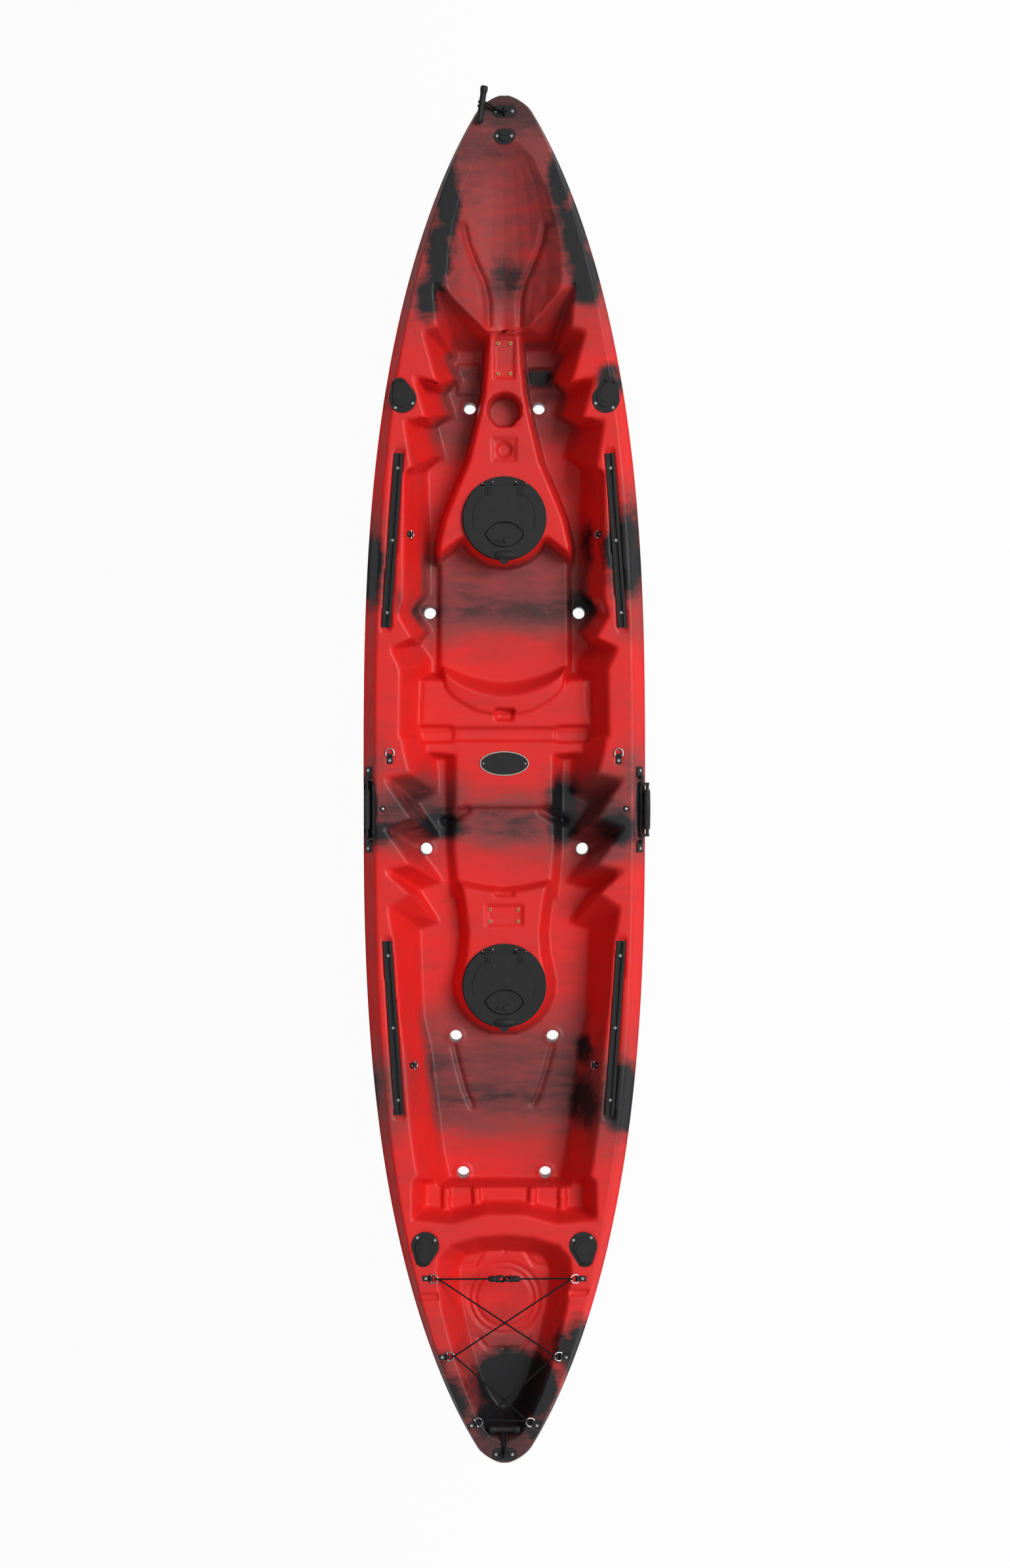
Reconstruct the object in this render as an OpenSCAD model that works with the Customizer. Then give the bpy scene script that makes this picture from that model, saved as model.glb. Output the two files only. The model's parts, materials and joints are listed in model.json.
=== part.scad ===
// Two-seat sit-on-top kayak with its deck fittings, at real size, in millimetres.
// +Y points to the bow, +X to the right-hand side, +Z up; z = 0 is the ground under the keel.

/* [Hull] */
// Overall length of the moulding
hull_length = 3960; // [3600:10:4300]
// Greatest beam, across the gunwales
hull_beam = 826; // [780:2:880]
// Height of the gunwale amidships
gunwale_h = 280; // [265:1:300]
// How much higher the deck is at the bow
bow_rise = 95; // [70:1:120]
// How much higher the deck is at the stern
stern_rise = 60; // [40:1:80]
// Wall of the rotational moulding
wall = 5; // [4.5:0.5:6]
// Width of the sloping band outside the gunwale
bevel_w = 36; // [28:1:42]
// Drop of the sloping band, gunwale edge to greatest beam
bevel_drop = 42; // [34:1:50]
// Half width of the flat keel strip that the hull rests on
keel_half = 45; // [35:1:55]
// Rounding of the well rims
rim_r = 9; // [6:0.5:12]
// Rounding where a well's walls meet its floor
floor_r = 16; // [10:1:20]

/* [Cockpit levels] */
// Floor of the front foot wells
front_floor = 82; // [76:1:92]
// Floor of the rear foot well and seat
rear_floor = 112; // [104:1:122]
// Front seat pan
seat_z = 102; // [96:1:112]
// Bridge behind the front seat, and middle platform
bridge_z = 165; // [155:1:175]
// Middle seat pan
mid_seat_z = 146; // [138:1:152]
// Top of the front console, which carries the front hatch
front_console_z = 205; // [195:1:215]
// Top of the rear console, which carries the rear hatch
rear_console_z = 188; // [180:1:200]
// Floor of the stern tank well
tank_floor = 205; // [195:1:220]

/* [Scuppers] */
// Bore radius of the drain tubes through the hull
scupper_r = 18; // [15:0.5:20]

/* [Hatches] */
// Radius of the hatch rim's flange
hatch_r = 124; // [120:1:127]
// Radius of the hatch opening
hatch_bore_r = 90; // [82:1:90]
// Hatch hinge line, forward of the hatch centre
hatch_hinge_y = 101; // [99:0.5:104]

/* [Rod holders] */
// Radius of the rod tube's bore
rod_bore_r = 20.5; // [19:0.25:22]
// Lean of the rod tube from the deck's normal, in degrees
rod_lean = 14; // [8:1:16]
// Length of the rod tube
rod_tube_len = 165; // [150:1:170]

/* [Gear tracks] */
// Length of each gear track
track_len = 508; // [480:2:520]
// Width of each gear track
track_w = 26; // [24:0.5:28]

/* [Small fittings] */
// Radius of the ring wire
ring_wire_r = 2; // [1.5:0.1:2.3]
// Half width of a ring, to the middle of its wire
ring_half = 12; // [11:0.5:14]
// Radius of the shock cord
bungee_r = 2.5; // [2:0.25:3]
// Radius of the toggle handles
toggle_r = 11; // [9:0.5:12]
// Length of the bow toggle
bow_toggle_len = 106; // [90:1:112]
// Length of the stern toggle
stern_toggle_len = 92; // [80:1:96]
// Radius of the cup holder
cup_r = 47; // [44:0.5:49]
// Depth of the cup holder
cup_depth = 75; // [60:1:90]
// Radius of a threaded insert
insert_r = 5; // [4:0.25:6]
// Thread radius of an insert
insert_bore_r = 2.6; // [2:0.1:3.2]

/* [Hidden] */
// Names of the pieces, and which of them is drawn
$fn = 32;

// Half sizes of the hull; how far a cutter reaches past its solid; overlap of joined solids
half_l = hull_length / 2;
half_b = hull_beam / 2;
reach = 30;
eps = 0.01;
sides = [-1, 1];
// How far the hull is stretched and widened from the drawing, and a place on it moved with that
stretch = hull_length / 3960;
widen = hull_beam / 826;
function along(y) = y * stretch;
function across(x) = x * widen;

// Plan and profile curves of the hull
plan_power = 2.8;
plan_fullness = 0.79;
plan_overrun = 50;
nose_len = 40;
nose_min = 5;
rocker_start = 700;
rocker_power = 4.5;
rocker_gap = 85;
sheer_power = 2.2;
function nose(y, l) = let (d = max(0, abs(y) - (l - nose_len)) / nose_len) sqrt(max(0, 1 - d * d));
function plan(y) = pow(1 - pow(min(abs(y), half_l) / (half_l + plan_overrun), plan_power), plan_fullness);
function half_beam(y, t = 0) = max(nose_min, half_b * plan(y) * nose(y, half_l - t) - t);
function rise(y) = y > 0 ? bow_rise : stern_rise;
function gunwale_z(y) = gunwale_h + rise(y) * pow(min(abs(y), half_l) / half_l, sheer_power);
function keel_z(y) = let (run = max(0, abs(y) - rocker_start) / (half_l - rocker_start))
    (gunwale_h + rise(y) - rocker_gap) * pow(run, rocker_power);

// Curves, outlines and lofted solids
function spline(a, b, c, d, u) =
    0.5 * (2 * b + (c - a) * u + (2 * a - 5 * b + 4 * c - d) * u * u + (3 * b - a - 3 * c + d) * u * u * u);
function smooth(p, k) = [
    for (i = [0 : len(p) - 2]) for (j = [0 : k - 1])
        spline(p[max(i - 1, 0)], p[i], p[i + 1], p[min(i + 2, len(p) - 1)], j / k),
    p[len(p) - 1]
];
function reversed(p) = [for (i = [len(p) - 1 : -1 : 0]) p[i]];
function left_of(p) = [for (q = p) [-q[0], q[1]]];
// A closed outline, anticlockwise, from its right-hand half given from bow to stern
function both_sides(right) = concat(left_of([for (q = right) if (abs(q[0]) > eps) q]), reversed(right));
// The same from places on the drawing
function stretched(p) = [for (q = p) [across(q[0]), along(q[1])]];
function outline(right) = both_sides(stretched(right));
function unit(v) = v / norm(v);
// The outline moved outwards by d at every edge; a sharp corner moves no further than the limit lets it
corner_limit = 0.35;
function grow(p, d) = let (n = len(p)) [
    for (i = [0 : n - 1])
        let (
            a = unit(p[i] - p[(i + n - 1) % n]),
            b = unit(p[(i + 1) % n] - p[i]),
            m = [a[1] + b[1], -a[0] - b[0]],
            c = max(corner_limit, m * m / 2)
        )
        p[i] + m * d / c
];
function at_z(p, z) = [for (q = p) [q[0], q[1], z]];
function near_deck(p, drop) = [for (q = p) [q[0], q[1], gunwale_z(q[1]) - drop]];
// A solid skinned over rings with equal numbers of points, lowest ring first
module skin(rings) {
    n = len(rings[0]);
    last = (len(rings) - 1) * n;
    faces = [
        for (i = [0 : len(rings) - 2]) for (j = [0 : n - 1])
            let (a = i * n + j, b = i * n + (j + 1) % n)
            each [[a, a + n, b + n], [a, b + n, b]]
    ];
    polyhedron(
        [for (r = rings) each r],
        concat(faces, [[for (j = [0 : n - 1]) j]], [[for (j = [n - 1 : -1 : 0]) last + j]])
    );
}

// Hull body: cross sections from stern to bow, inset by t for the inside of the wall
tunnel_h = 24;
runner_h = 12;
// Places of the tunnel and the runner, then of the side's points, as shares of half beam and side height
tunnel_at = 0.36;
runner_at = 0.60;
side_profile = [[0.80, 0.16], [0.93, 0.44], [0.985, 0.76]];
// Half beam under which the sections shrink evenly, and how the sloping band narrows to the ends
full_b = 200;
band_power = 1.2;
band_least = 0.35;
keel_inset = 0.4;
stations = 21;
inner_stations = 13;
function half_section(y, t, k) =
    let (
        b = half_beam(y, t),
        full = min(1, b / full_b),
        band = pow(b / half_b, band_power),
        zk = keel_z(y) + t,
        zg = gunwale_z(y) - t,
        zs = zg - bevel_drop * (band_least + (1 - band_least) * band),
        flat = (keel_half - t * keel_inset) * full
    )
    concat(
        [[0, zk]],
        smooth(concat(
            [[flat, zk], [tunnel_at * b, zk + tunnel_h * full], [runner_at * b, zk + runner_h * full]],
            [for (p = side_profile) [p[0] * b, zk + p[1] * (zs - zk)]],
            [[b, zs]]
        ), k),
        [[b - bevel_w * band, zg], [0, zg]]
    );
function section(y, t, k) = let (s = half_section(y, t, k), n = len(s)) concat(
    [for (q = s) [q[0], y, q[1]]],
    [for (i = [n - 2 : -1 : 1]) [-s[i][0], y, s[i][1]]]
);
module hull_body(t) {
    n = t > 0 ? inner_stations : stations;
    k = t > 0 ? 1 : 2;
    skin([for (i = [n : -1 : -n]) section((half_l - t) * sin(90 * i / n), t, k)]);
}

// A pocket let into the deck: rim outline, floor outline, floor height; t thickens it by the wall
top_z = gunwale_h + bow_rise + 2 * reach;
floor_in = 0.7;
over_deck = 1;
module pocket(rim, floor, floor_z, t) {
    skin([
        at_z(grow(floor, t - floor_r * floor_in), floor_z - t),
        at_z(grow(floor, t), floor_z - t + floor_r),
        near_deck(grow(rim, t), rim_r + t),
        near_deck(grow(rim, t + rim_r), -over_deck),
        at_z(grow(rim, t + rim_r), top_z)
    ]);
}
// A raised form standing in a pocket, with a crown rounded by shares of the rim's rounding
crown_drop = 0.6;
crown_in = 0.8;
island_root = 12;
module island(top, base, base_z, z, t) {
    skin([
        at_z(grow(base, -t), base_z - island_root),
        at_z(grow(top, -t), z - t - rim_r * crown_drop),
        at_z(grow(top, -t - rim_r * crown_in), z - t)
    ]);
}

// Front cockpit: four foot rests step out along each wall, then two more beside the seat
front_rim = outline([
    [0, 1330], [40, 1340], [200, 1436], [190, 1316], [232, 1303], [188, 1150], [258, 1171], [222, 1050],
    [286, 1045], [264, 908], [288, 892], [288, 525], [301, 483], [260, 410], [325, 385], [297, 325],
    [300, 130]
]);
front_floor_line = outline([
    [0, 1290], [72, 1290], [150, 1292], [150, 1262], [166, 1252], [138, 1195], [187, 1184], [158, 1088],
    [214, 1066], [188, 966], [240, 953], [232, 560], [271, 508], [229, 448], [271, 412], [229, 356],
    [236, 130]
]);
module front_well(t) {
    pocket(front_rim, front_floor_line, front_floor, t);
}

// Rear cockpit: four foot rests, then the rear seat
rear_rim = outline([
    [298, 150], [285, 85], [268, 18], [343, 2], [264, -112], [343, -140], [266, -248], [341, -266],
    [268, -330], [332, -373], [316, -480], [302, -660], [284, -800], [268, -1009], [252, -1122], [235, -1200]
]);
rear_floor_line = outline([
    [214, 150], [212, 60], [207, -30], [275, -58], [205, -162], [275, -190], [199, -295], [270, -318],
    [208, -415], [262, -434], [260, -507], [252, -700], [230, -790], [204, -1000], [192, -1100], [172, -1190]
]);
module rear_well(t) {
    pocket(rear_rim, rear_floor_line, rear_floor, t);
}

// Shelf behind the rear seat, with four low ribs
shelf_z = 196;
shelf_rim = outline([[238, -1146], [262, -1172], [264, -1276], [155, -1286], [56, -1258]]);
shelf_line = outline([[200, -1170], [238, -1180], [242, -1262], [150, -1270], [50, -1246]]);
rib_x = [-171, -82, 82, 171];
rib_y = -1226;
rib_w = 22;
rib_l = 60;
rib_h = 14;
rib_root = 46;
module rear_shelf(t) {
    difference() {
        pocket(shelf_rim, shelf_line, shelf_z, t);
        for (x = rib_x) translate([across(x), along(rib_y), 0])
            block(rib_w - 2 * t, rib_l - 2 * t, shelf_z - rib_root, shelf_z + rib_h - t);
    }
}

// Front console, with the round boss under the hatch
hatch_boss_r = 131;
front_hatch_y = 771;
rear_hatch_y = -605;
boss_step = 16;
front_boss_from = -26;
console_flare = 14;
console_side = [
    [40, 1420], [44, 1345], [52, 1230], [60, 1140], [82, 1040], [106, 940], [136, 870], [176, 770],
    [194, 690], [192, 662], [128, 712]
];
function boss_arc(y, from) = [
    for (a = [from : -boss_step : -90]) [hatch_boss_r * cos(a), y + hatch_boss_r * sin(a)]
];
module front_console(t) {
    top = both_sides(concat(stretched(console_side), boss_arc(along(front_hatch_y), front_boss_from)));
    island(top, grow(top, console_flare), front_floor, front_console_z, t);
}
// Front seat pan, between its drain channels
pan_flare = 8;
module seat(t) {
    pan = outline([[188, 760], [192, 640], [194, 340], [190, 180]]);
    island(pan, grow(pan, pan_flare), front_floor, seat_z, t);
}
// Bridge behind the front seat; its front face is the curved seat back
bridge_root = 10;
module bridge(t) {
    top = outline([
        [0, 191], [45, 197], [122, 231], [186, 298], [244, 300], [256, 80], [147, 74], [147, -80]
    ]);
    base = outline([
        [0, 248], [48, 253], [130, 279], [192, 322], [262, 322], [275, 66], [200, 60], [196, -104]
    ]);
    island(top, base, front_floor - bridge_root, bridge_z, t);
}
// Middle seat
mid_flare = 34;
module mid_seat(t) {
    top = outline([[150, -60], [152, -200], [140, -330]]);
    island(top, grow(top, mid_flare), rear_floor - bridge_root, mid_seat_z, t);
}
// Rear console; its front face is the middle seat's back
rear_flare = 24;
rear_boss_from = 20;
rear_console_side = [[0, -330], [60, -322], [128, -308], [116, -380], [108, -450], [114, -520]];
module rear_console(t) {
    top = both_sides(concat(stretched(rear_console_side), boss_arc(along(rear_hatch_y), rear_boss_from)));
    island(top, grow(top, rear_flare), rear_floor, rear_console_z, t);
}

// Stern tank well
tank_rim = outline([
    [0, -1330], [80, -1336], [155, -1358], [186, -1392], [190, -1430], [176, -1540], [143, -1665],
    [105, -1775], [72, -1850], [40, -1895], [0, -1912]
]);
tank_line = outline([
    [0, -1372], [70, -1376], [118, -1388], [138, -1414], [144, -1446], [136, -1540], [110, -1655],
    [80, -1755], [52, -1815], [26, -1850], [0, -1858]
]);
module tank_well(t) {
    pocket(tank_rim, tank_line, tank_floor, t);
}

// Sunk foredeck: place along the hull, half width and depth of each row, then its steps across and its lip
dish_rows = [
    [1842, 44, 6], [1800, 86, 22], [1718, 122, 45], [1627, 148, 62], [1550, 162, 76], [1469, 168, 90],
    [1400, 158, 104], [1320, 120, 113]
];
dish_steps = 4;
dish_lip = 0.4;
function dish_z(r, t, u) = gunwale_z(along(r[0])) - (r[2] + t) * (1 - u * u) + dish_lip * abs(u);
module dish(t) {
    skin([
        for (r = dish_rows)
            let (w = across(r[1]) + t, y = along(r[0]) + (r == dish_rows[0] ? t : 0), n = dish_steps)
            concat(
                [for (k = [0 : n]) [w * k / n, y, dish_z(r, t, k / n)]],
                [[w, y, top_z], [-w, y, top_z]],
                [for (k = [-n : -1]) [w * k / n, y, dish_z(r, t, k / n)]]
            )
    ]);
}

// Round trough across the bridge, wider at its two ends
trough_y = 136;
trough_lift = 6;
trough_r = 18;
trough_half = 252;
trough_end_r = 26;
trough_end_len = 100;
trough_fn = 20;
module trough_bar(x, r, l) {
    translate([x, 0, 0]) rotate([0, 90, 0]) cylinder(r = r, h = l, center = true, $fn = trough_fn);
}
module trough(t) {
    translate([0, along(trough_y), bridge_z + trough_lift]) {
        trough_bar(0, trough_r + t, 2 * (trough_half + t));
        for (s = sides)
            trough_bar(s * (trough_half - trough_end_len / 2), trough_end_r + t, trough_end_len + 2 * t);
    }
}
// Notches in the middle of the two seat backs: place along, size and depth
front_notch_y = 192;
front_notch = [50, 30, 14];
mid_notch_y = -330;
mid_notch = [58, 22, 12];
module notch(y, z, size, t) {
    translate([0, along(y), z]) block(size[0] + 2 * t, size[1] + 2 * t, -size[2] - t, reach);
}
module seat_notches(t) {
    notch(front_notch_y, bridge_z, front_notch, t);
    notch(mid_notch_y, rear_console_z, mid_notch, t);
}

// Drain tubes right through the hull, in pairs
scuppers = [[103, 1110], [222, 500], [232, -203], [144, -760], [122, -1165]];
scupper_start = -5;
scupper_h = 200;
module scupper_tubes(r, n) {
    for (p = scuppers) for (s = sides) translate([s * across(p[0]), along(p[1]), scupper_start])
        cylinder(r = r, h = scupper_h, $fn = n);
}

// Plain exact shapes used by the fittings
module stadium(l, r, h) {
    for (s = sides) translate([s * l / 2, 0, 0]) cylinder(r = r, h = h);
    translate([-l / 2, -r, 0]) cube([l, 2 * r, h]);
}
module along_x(x0, x1, r) {
    translate([x0, 0, 0]) rotate([0, 90, 0]) cylinder(r = r, h = x1 - x0);
}
module along_y(y0, y1, r) {
    translate([0, y0, 0]) rotate([-90, 0, 0]) cylinder(r = r, h = y1 - y0);
}
module block(x, y, z0, z1) {
    translate([-x / 2, -y / 2, z0]) cube([x, y, z1 - z0]);
}
// A plate with a large round and a small one and straight tangents between: place and radius of each
module drop_plate(shape, h) {
    y_a = shape[0];
    r_a = shape[1];
    y_b = shape[2];
    r_b = shape[3];
    lean = asin((r_a - r_b) / (y_b - y_a));
    translate([0, y_a, 0]) cylinder(r = r_a, h = h);
    translate([0, y_b, 0]) cylinder(r = r_b, h = h);
    linear_extrude(h) polygon([
        [r_a * cos(lean), y_a + r_a * sin(lean)], [r_b * cos(lean), y_b + r_b * sin(lean)],
        [-r_b * cos(lean), y_b + r_b * sin(lean)], [-r_a * cos(lean), y_a + r_a * sin(lean)]
    ]);
}
// A plate bounded by two arcs, its tips on the X axis
module lens_plate(r, d, h) {
    intersection_for(s = sides) translate([0, s * d, 0]) cylinder(r = r, h = h);
}
// A pan-head screw with a cross recess; its head stands on z = 0
screw_r = 2;
screw_hole_r = 2.2;
screw_head_r = 4.2;
screw_head_h = 2.4;
recess_w = 1;
recess_d = 1.2;
recess_l = 5;
screw_len = 10;
long_screw = 12;
fitting_hole = 10;
hull_hole = 14;
hole_above = 6;
module screw(len) {
    difference() {
        cylinder(r = screw_head_r, h = screw_head_h);
        for (a = [0, 90]) rotate([0, 0, a])
            block(recess_l, recess_w, screw_head_h - recess_d, screw_head_h + 1);
    }
    translate([0, 0, -len]) cylinder(r = screw_r, h = len + eps);
}
module screw_hole(len) {
    translate([0, 0, -len]) cylinder(r = screw_hole_r, h = len + hole_above);
}
// A tube of n sides along a path of points
function tangent(p, i) = unit(p[min(i + 1, len(p) - 1)] - p[max(i - 1, 0)]);
function square_to(u, t) = unit(u - (u * t) * t);
function carried(p, u0) = [
    for (
        i = 0, u = square_to(u0, tangent(p, 0));
        i < len(p);
        i = i + 1, u = square_to(u, tangent(p, min(i, len(p) - 1)))
    ) u
];
module tube(p, r, n, u0 = [0, 0, 1]) {
    u = carried(p, u0);
    skin([
        for (i = [0 : len(p) - 1])
            let (v = cross(tangent(p, i), u[i]))
            [for (j = [0 : n - 1]) p[i] + r * (cos(360 * j / n) * u[i] + sin(360 * j / n) * v)]
    ]);
}

// Places on the deck: the gunwale's own height and slope, with shallow seats for the fittings
seat_d = 1.5;
function deck_slope(y) = atan(
    sign(y) * rise(y) * sheer_power / half_l * pow(abs(y) / half_l, sheer_power - 1)
);
module on_deck(p, sink = seat_d) {
    y = along(p[1]);
    translate([across(p[0]), y, gunwale_z(y)]) rotate([deck_slope(y), 0, 0]) rotate([0, 0, p[2]])
        translate([0, 0, -sink]) children();
}

// Hatch: z = 0 is the top of the console, y = 0 the hatch centre
hatch_wall = 3.5;
hatch_flange_h = 4;
hatch_neck = 26;
hatch_lip_h = 9;
hatch_screw_ring = 111;
hatch_screw_len = 9;
hatch_screw_angles = [45, 135, 225, 315];
// Hinge: two knuckles on the lid, each between two lugs of the rim
hinge_z = 12;
hinge_x = 48;
hinge_pin_r = 2;
hinge_free_r = 2.15;
hinge_pin_half = 14;
hinge_cut = 7;
lug_x = 12;
lug_t = 4;
lug_half = 4.2;
knuckle_half = 9.5;
knuckle_r = 5;
knuckle_arm = 9;
// Lid: a plate with a skirt outside and a ring that enters the hatch
lid_r = 121;
lid_under = 10.5;
lid_top = 15.5;
lid_skirt_z = 7.5;
lid_skirt_t = 4;
lid_ring_z = 3;
lid_ring_gap = 2.5;
lid_ring_t = 3.5;
lid_grip_r = 14;
// Latch: a lens-shaped flap in a cup of the lid
latch_in = 42;
latch_reach = 28;
latch_y = latch_in - hatch_bore_r;
latch_pivot_y = latch_y + latch_reach;
latch_pivot_z = 8;
latch_pin_r = 1.5;
latch_pin_half = 25.5;
latch_free = 0.15;
latch_t = 3.5;
latch_tail = 5;
latch_bar_half = 20;
latch_bar_r = 3;
latch_web = 4;
lens_r = 60.7;
lens_d = 25.7;
cup_gap = 3;
cup_wall = 5;
cup_under = 1;
cup_floor = 4;
post_x = 23.5;
post_w = 5;
post_l = 4.4;
post_over = 2.8;
seal_in = 0.5;
module at_hinges() {
    for (s = sides) translate([s * hinge_x, hatch_hinge_y, hinge_z]) children();
}
module at_hatch_screws() {
    for (a = hatch_screw_angles) rotate([0, 0, a])
        translate([hatch_screw_ring, 0, hatch_flange_h]) children();
}
module at_front_hatch() {
    translate([0, along(front_hatch_y), front_console_z]) children();
}
module at_rear_hatch() {
    translate([0, along(rear_hatch_y), rear_console_z]) children();
}
module hatch_rim() {
    color("black") difference() {
        union() {
            cylinder(r = hatch_r, h = hatch_flange_h);
            translate([0, 0, -hatch_neck])
                cylinder(r = hatch_bore_r + hatch_wall, h = hatch_neck + hatch_lip_h);
            at_hinges() for (e = sides) translate([e * lug_x, 0, 0])
                block(lug_t, 2 * lug_half, hatch_flange_h - hinge_z - eps, lug_half);
        }
        translate([0, 0, -reach]) cylinder(r = hatch_bore_r, h = 2 * reach);
        at_hinges() along_x(-lug_x - lug_t, lug_x + lug_t, hinge_pin_r);
        at_hatch_screws() screw_hole(fitting_hole);
    }
}
module lid_plate() {
    translate([0, 0, lid_under]) cylinder(r = lid_r, h = lid_top - lid_under);
    translate([0, 0, lid_skirt_z]) difference() {
        cylinder(r = lid_r, h = lid_top - lid_skirt_z - 1);
        translate([0, 0, -1]) cylinder(r = lid_r - lid_skirt_t, h = lid_top - lid_skirt_z + 1);
    }
    translate([0, 0, lid_ring_z]) difference() {
        cylinder(r = hatch_bore_r - lid_ring_gap, h = lid_under - lid_ring_z + 1);
        translate([0, 0, -1]) cylinder(r = hatch_bore_r - lid_ring_gap - lid_ring_t, h = lid_top);
    }
    translate([0, latch_y, cup_under]) lens_plate(lens_r + cup_wall, lens_d, lid_under - cup_under + 1);
    translate([0, -lid_r, lid_under]) cylinder(r = lid_grip_r, h = lid_top - lid_under);
}
module hatch_lid() {
    color("dimgray") difference() {
        union() {
            difference() {
                lid_plate();
                translate([0, latch_y, cup_floor]) lens_plate(lens_r + cup_gap, lens_d, reach);
                translate([-lid_r, hatch_hinge_y - hinge_cut, 0]) cube([2 * lid_r, 2 * reach, reach]);
            }
            at_hinges() {
                along_x(-knuckle_half, knuckle_half, knuckle_r);
                translate([0, -knuckle_arm / 2, 0])
                    block(2 * knuckle_half, knuckle_arm, lid_under - hinge_z, lid_top - hinge_z);
            }
            for (s = sides) translate([s * post_x, latch_pivot_y, 0])
                block(post_w, post_l, cup_floor - eps, latch_pivot_z + post_over);
        }
        at_hinges() along_x(-hinge_pin_half, hinge_pin_half, hinge_free_r);
        translate([0, latch_pivot_y, latch_pivot_z]) along_x(-reach, reach, latch_pin_r + latch_free);
    }
}
module hatch_seal() {
    color("gray") translate([0, 0, hatch_lip_h]) difference() {
        cylinder(r = hatch_bore_r + hatch_wall, h = lid_under - hatch_lip_h);
        translate([0, 0, -1]) cylinder(r = hatch_bore_r + seal_in, h = lid_under);
    }
}
module hatch_pins() {
    color("silver") at_hinges() along_x(-hinge_pin_half, hinge_pin_half, hinge_pin_r);
}
module hatch_latch() {
    color("darkslategray") {
        difference() {
            translate([0, latch_y, lid_top - latch_t]) lens_plate(lens_r, lens_d, latch_t);
            translate([-lens_r, latch_pivot_y + latch_tail, 0]) cube([2 * lens_r, 2 * reach, reach]);
        }
        translate([0, latch_pivot_y, latch_pivot_z]) {
            along_x(-latch_bar_half, latch_bar_half, latch_bar_r);
            block(2 * latch_bar_half, latch_web, 0, lid_top - latch_t - latch_pivot_z + eps);
            along_x(-latch_pin_half, latch_pin_half, latch_pin_r);
        }
    }
}
module hatch_screws() {
    color("silver") {
        at_front_hatch() at_hatch_screws() screw(hatch_screw_len);
        at_rear_hatch() at_hatch_screws() screw(hatch_screw_len);
    }
}

// Rod holders: a leaning tube under a drop-shaped flange, closed by a hinged cap
rod_places = [[298, 1118, -14], [-298, 1118, 14], [231, -1362, 188], [-231, -1362, 172]];
rod_flange = [-8, 40, 30, 24];
rod_flange_h = 5;
rod_wall = 3.2;
rod_screws = [[26, -28], [-26, -28]];
rod_floor = 3;
rod_head = 12;
// Wider mouth at the top of the tube
rod_mouth_d = 4;
rod_mouth_gap = 1.5;
// Cap: its shape, its round pad and its hinge
cap_shape = [-4, 27, 30, 16];
cap_t = 5;
cap_cut = 8;
cap_pad_r = 19;
cap_pad_y = -2;
cap_pad_h = 2;
cap_tongue = [18, 9, 3];
cap_hinge_y = 45;
cap_hinge_z = 9;
cap_pin_r = 1.5;
cap_pin_half = 14.5;
cap_free = 0.15;
cap_knuckle_r = 3.2;
cap_knuckle_half = 9.5;
cap_lug_x = 13;
cap_lug = [4, 8, 7];
module at_rod(i) {
    on_deck(rod_places[i]) children();
}
module rod_holder(i) {
    color("black") at_rod(i) difference() {
        union() {
            drop_plate(rod_flange, rod_flange_h);
            difference() {
                rotate([-rod_lean, 0, 0]) translate([0, 0, -rod_tube_len])
                    cylinder(r = rod_bore_r + rod_wall, h = rod_tube_len + rod_head);
                block(4 * reach, 4 * reach, rod_flange_h - 1, 2 * reach);
            }
            for (s = sides) translate([s * cap_lug_x, cap_hinge_y, rod_flange_h])
                block(cap_lug[0], cap_lug[1], -eps, cap_lug[2]);
        }
        rotate([-rod_lean, 0, 0]) {
            translate([0, 0, -rod_tube_len + rod_floor]) cylinder(r = rod_bore_r, h = rod_tube_len);
            translate([0, 0, -rod_mouth_d]) cylinder(r = rod_bore_r + rod_mouth_gap, h = reach);
        }
        for (p = rod_screws) translate([p[0], p[1], rod_flange_h]) screw_hole(fitting_hole);
        translate([0, cap_hinge_y, cap_hinge_z]) along_x(-reach, reach, cap_pin_r + cap_free);
    }
}
module rod_cap(i) {
    color("dimgray") at_rod(i) {
        difference() {
            translate([0, 0, rod_flange_h]) drop_plate(cap_shape, cap_t);
            translate([-reach, cap_hinge_y - cap_cut, 0]) cube([2 * reach, reach, reach]);
        }
        translate([0, cap_pad_y, rod_flange_h + cap_t - eps]) cylinder(r = cap_pad_r, h = cap_pad_h);
        translate([-cap_tongue[0] / 2, cap_hinge_y - cap_tongue[1], rod_flange_h + cap_t - cap_tongue[2]])
            cube(cap_tongue);
        translate([0, cap_hinge_y, cap_hinge_z]) {
            along_x(-cap_knuckle_half, cap_knuckle_half, cap_knuckle_r);
            along_x(-cap_pin_half, cap_pin_half, cap_pin_r);
        }
    }
}
module rod_holder_screws() {
    color("silver") for (i = [0 : 3]) at_rod(i) for (p = rod_screws)
        translate([p[0], p[1], rod_flange_h]) screw(long_screw);
}

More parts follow.
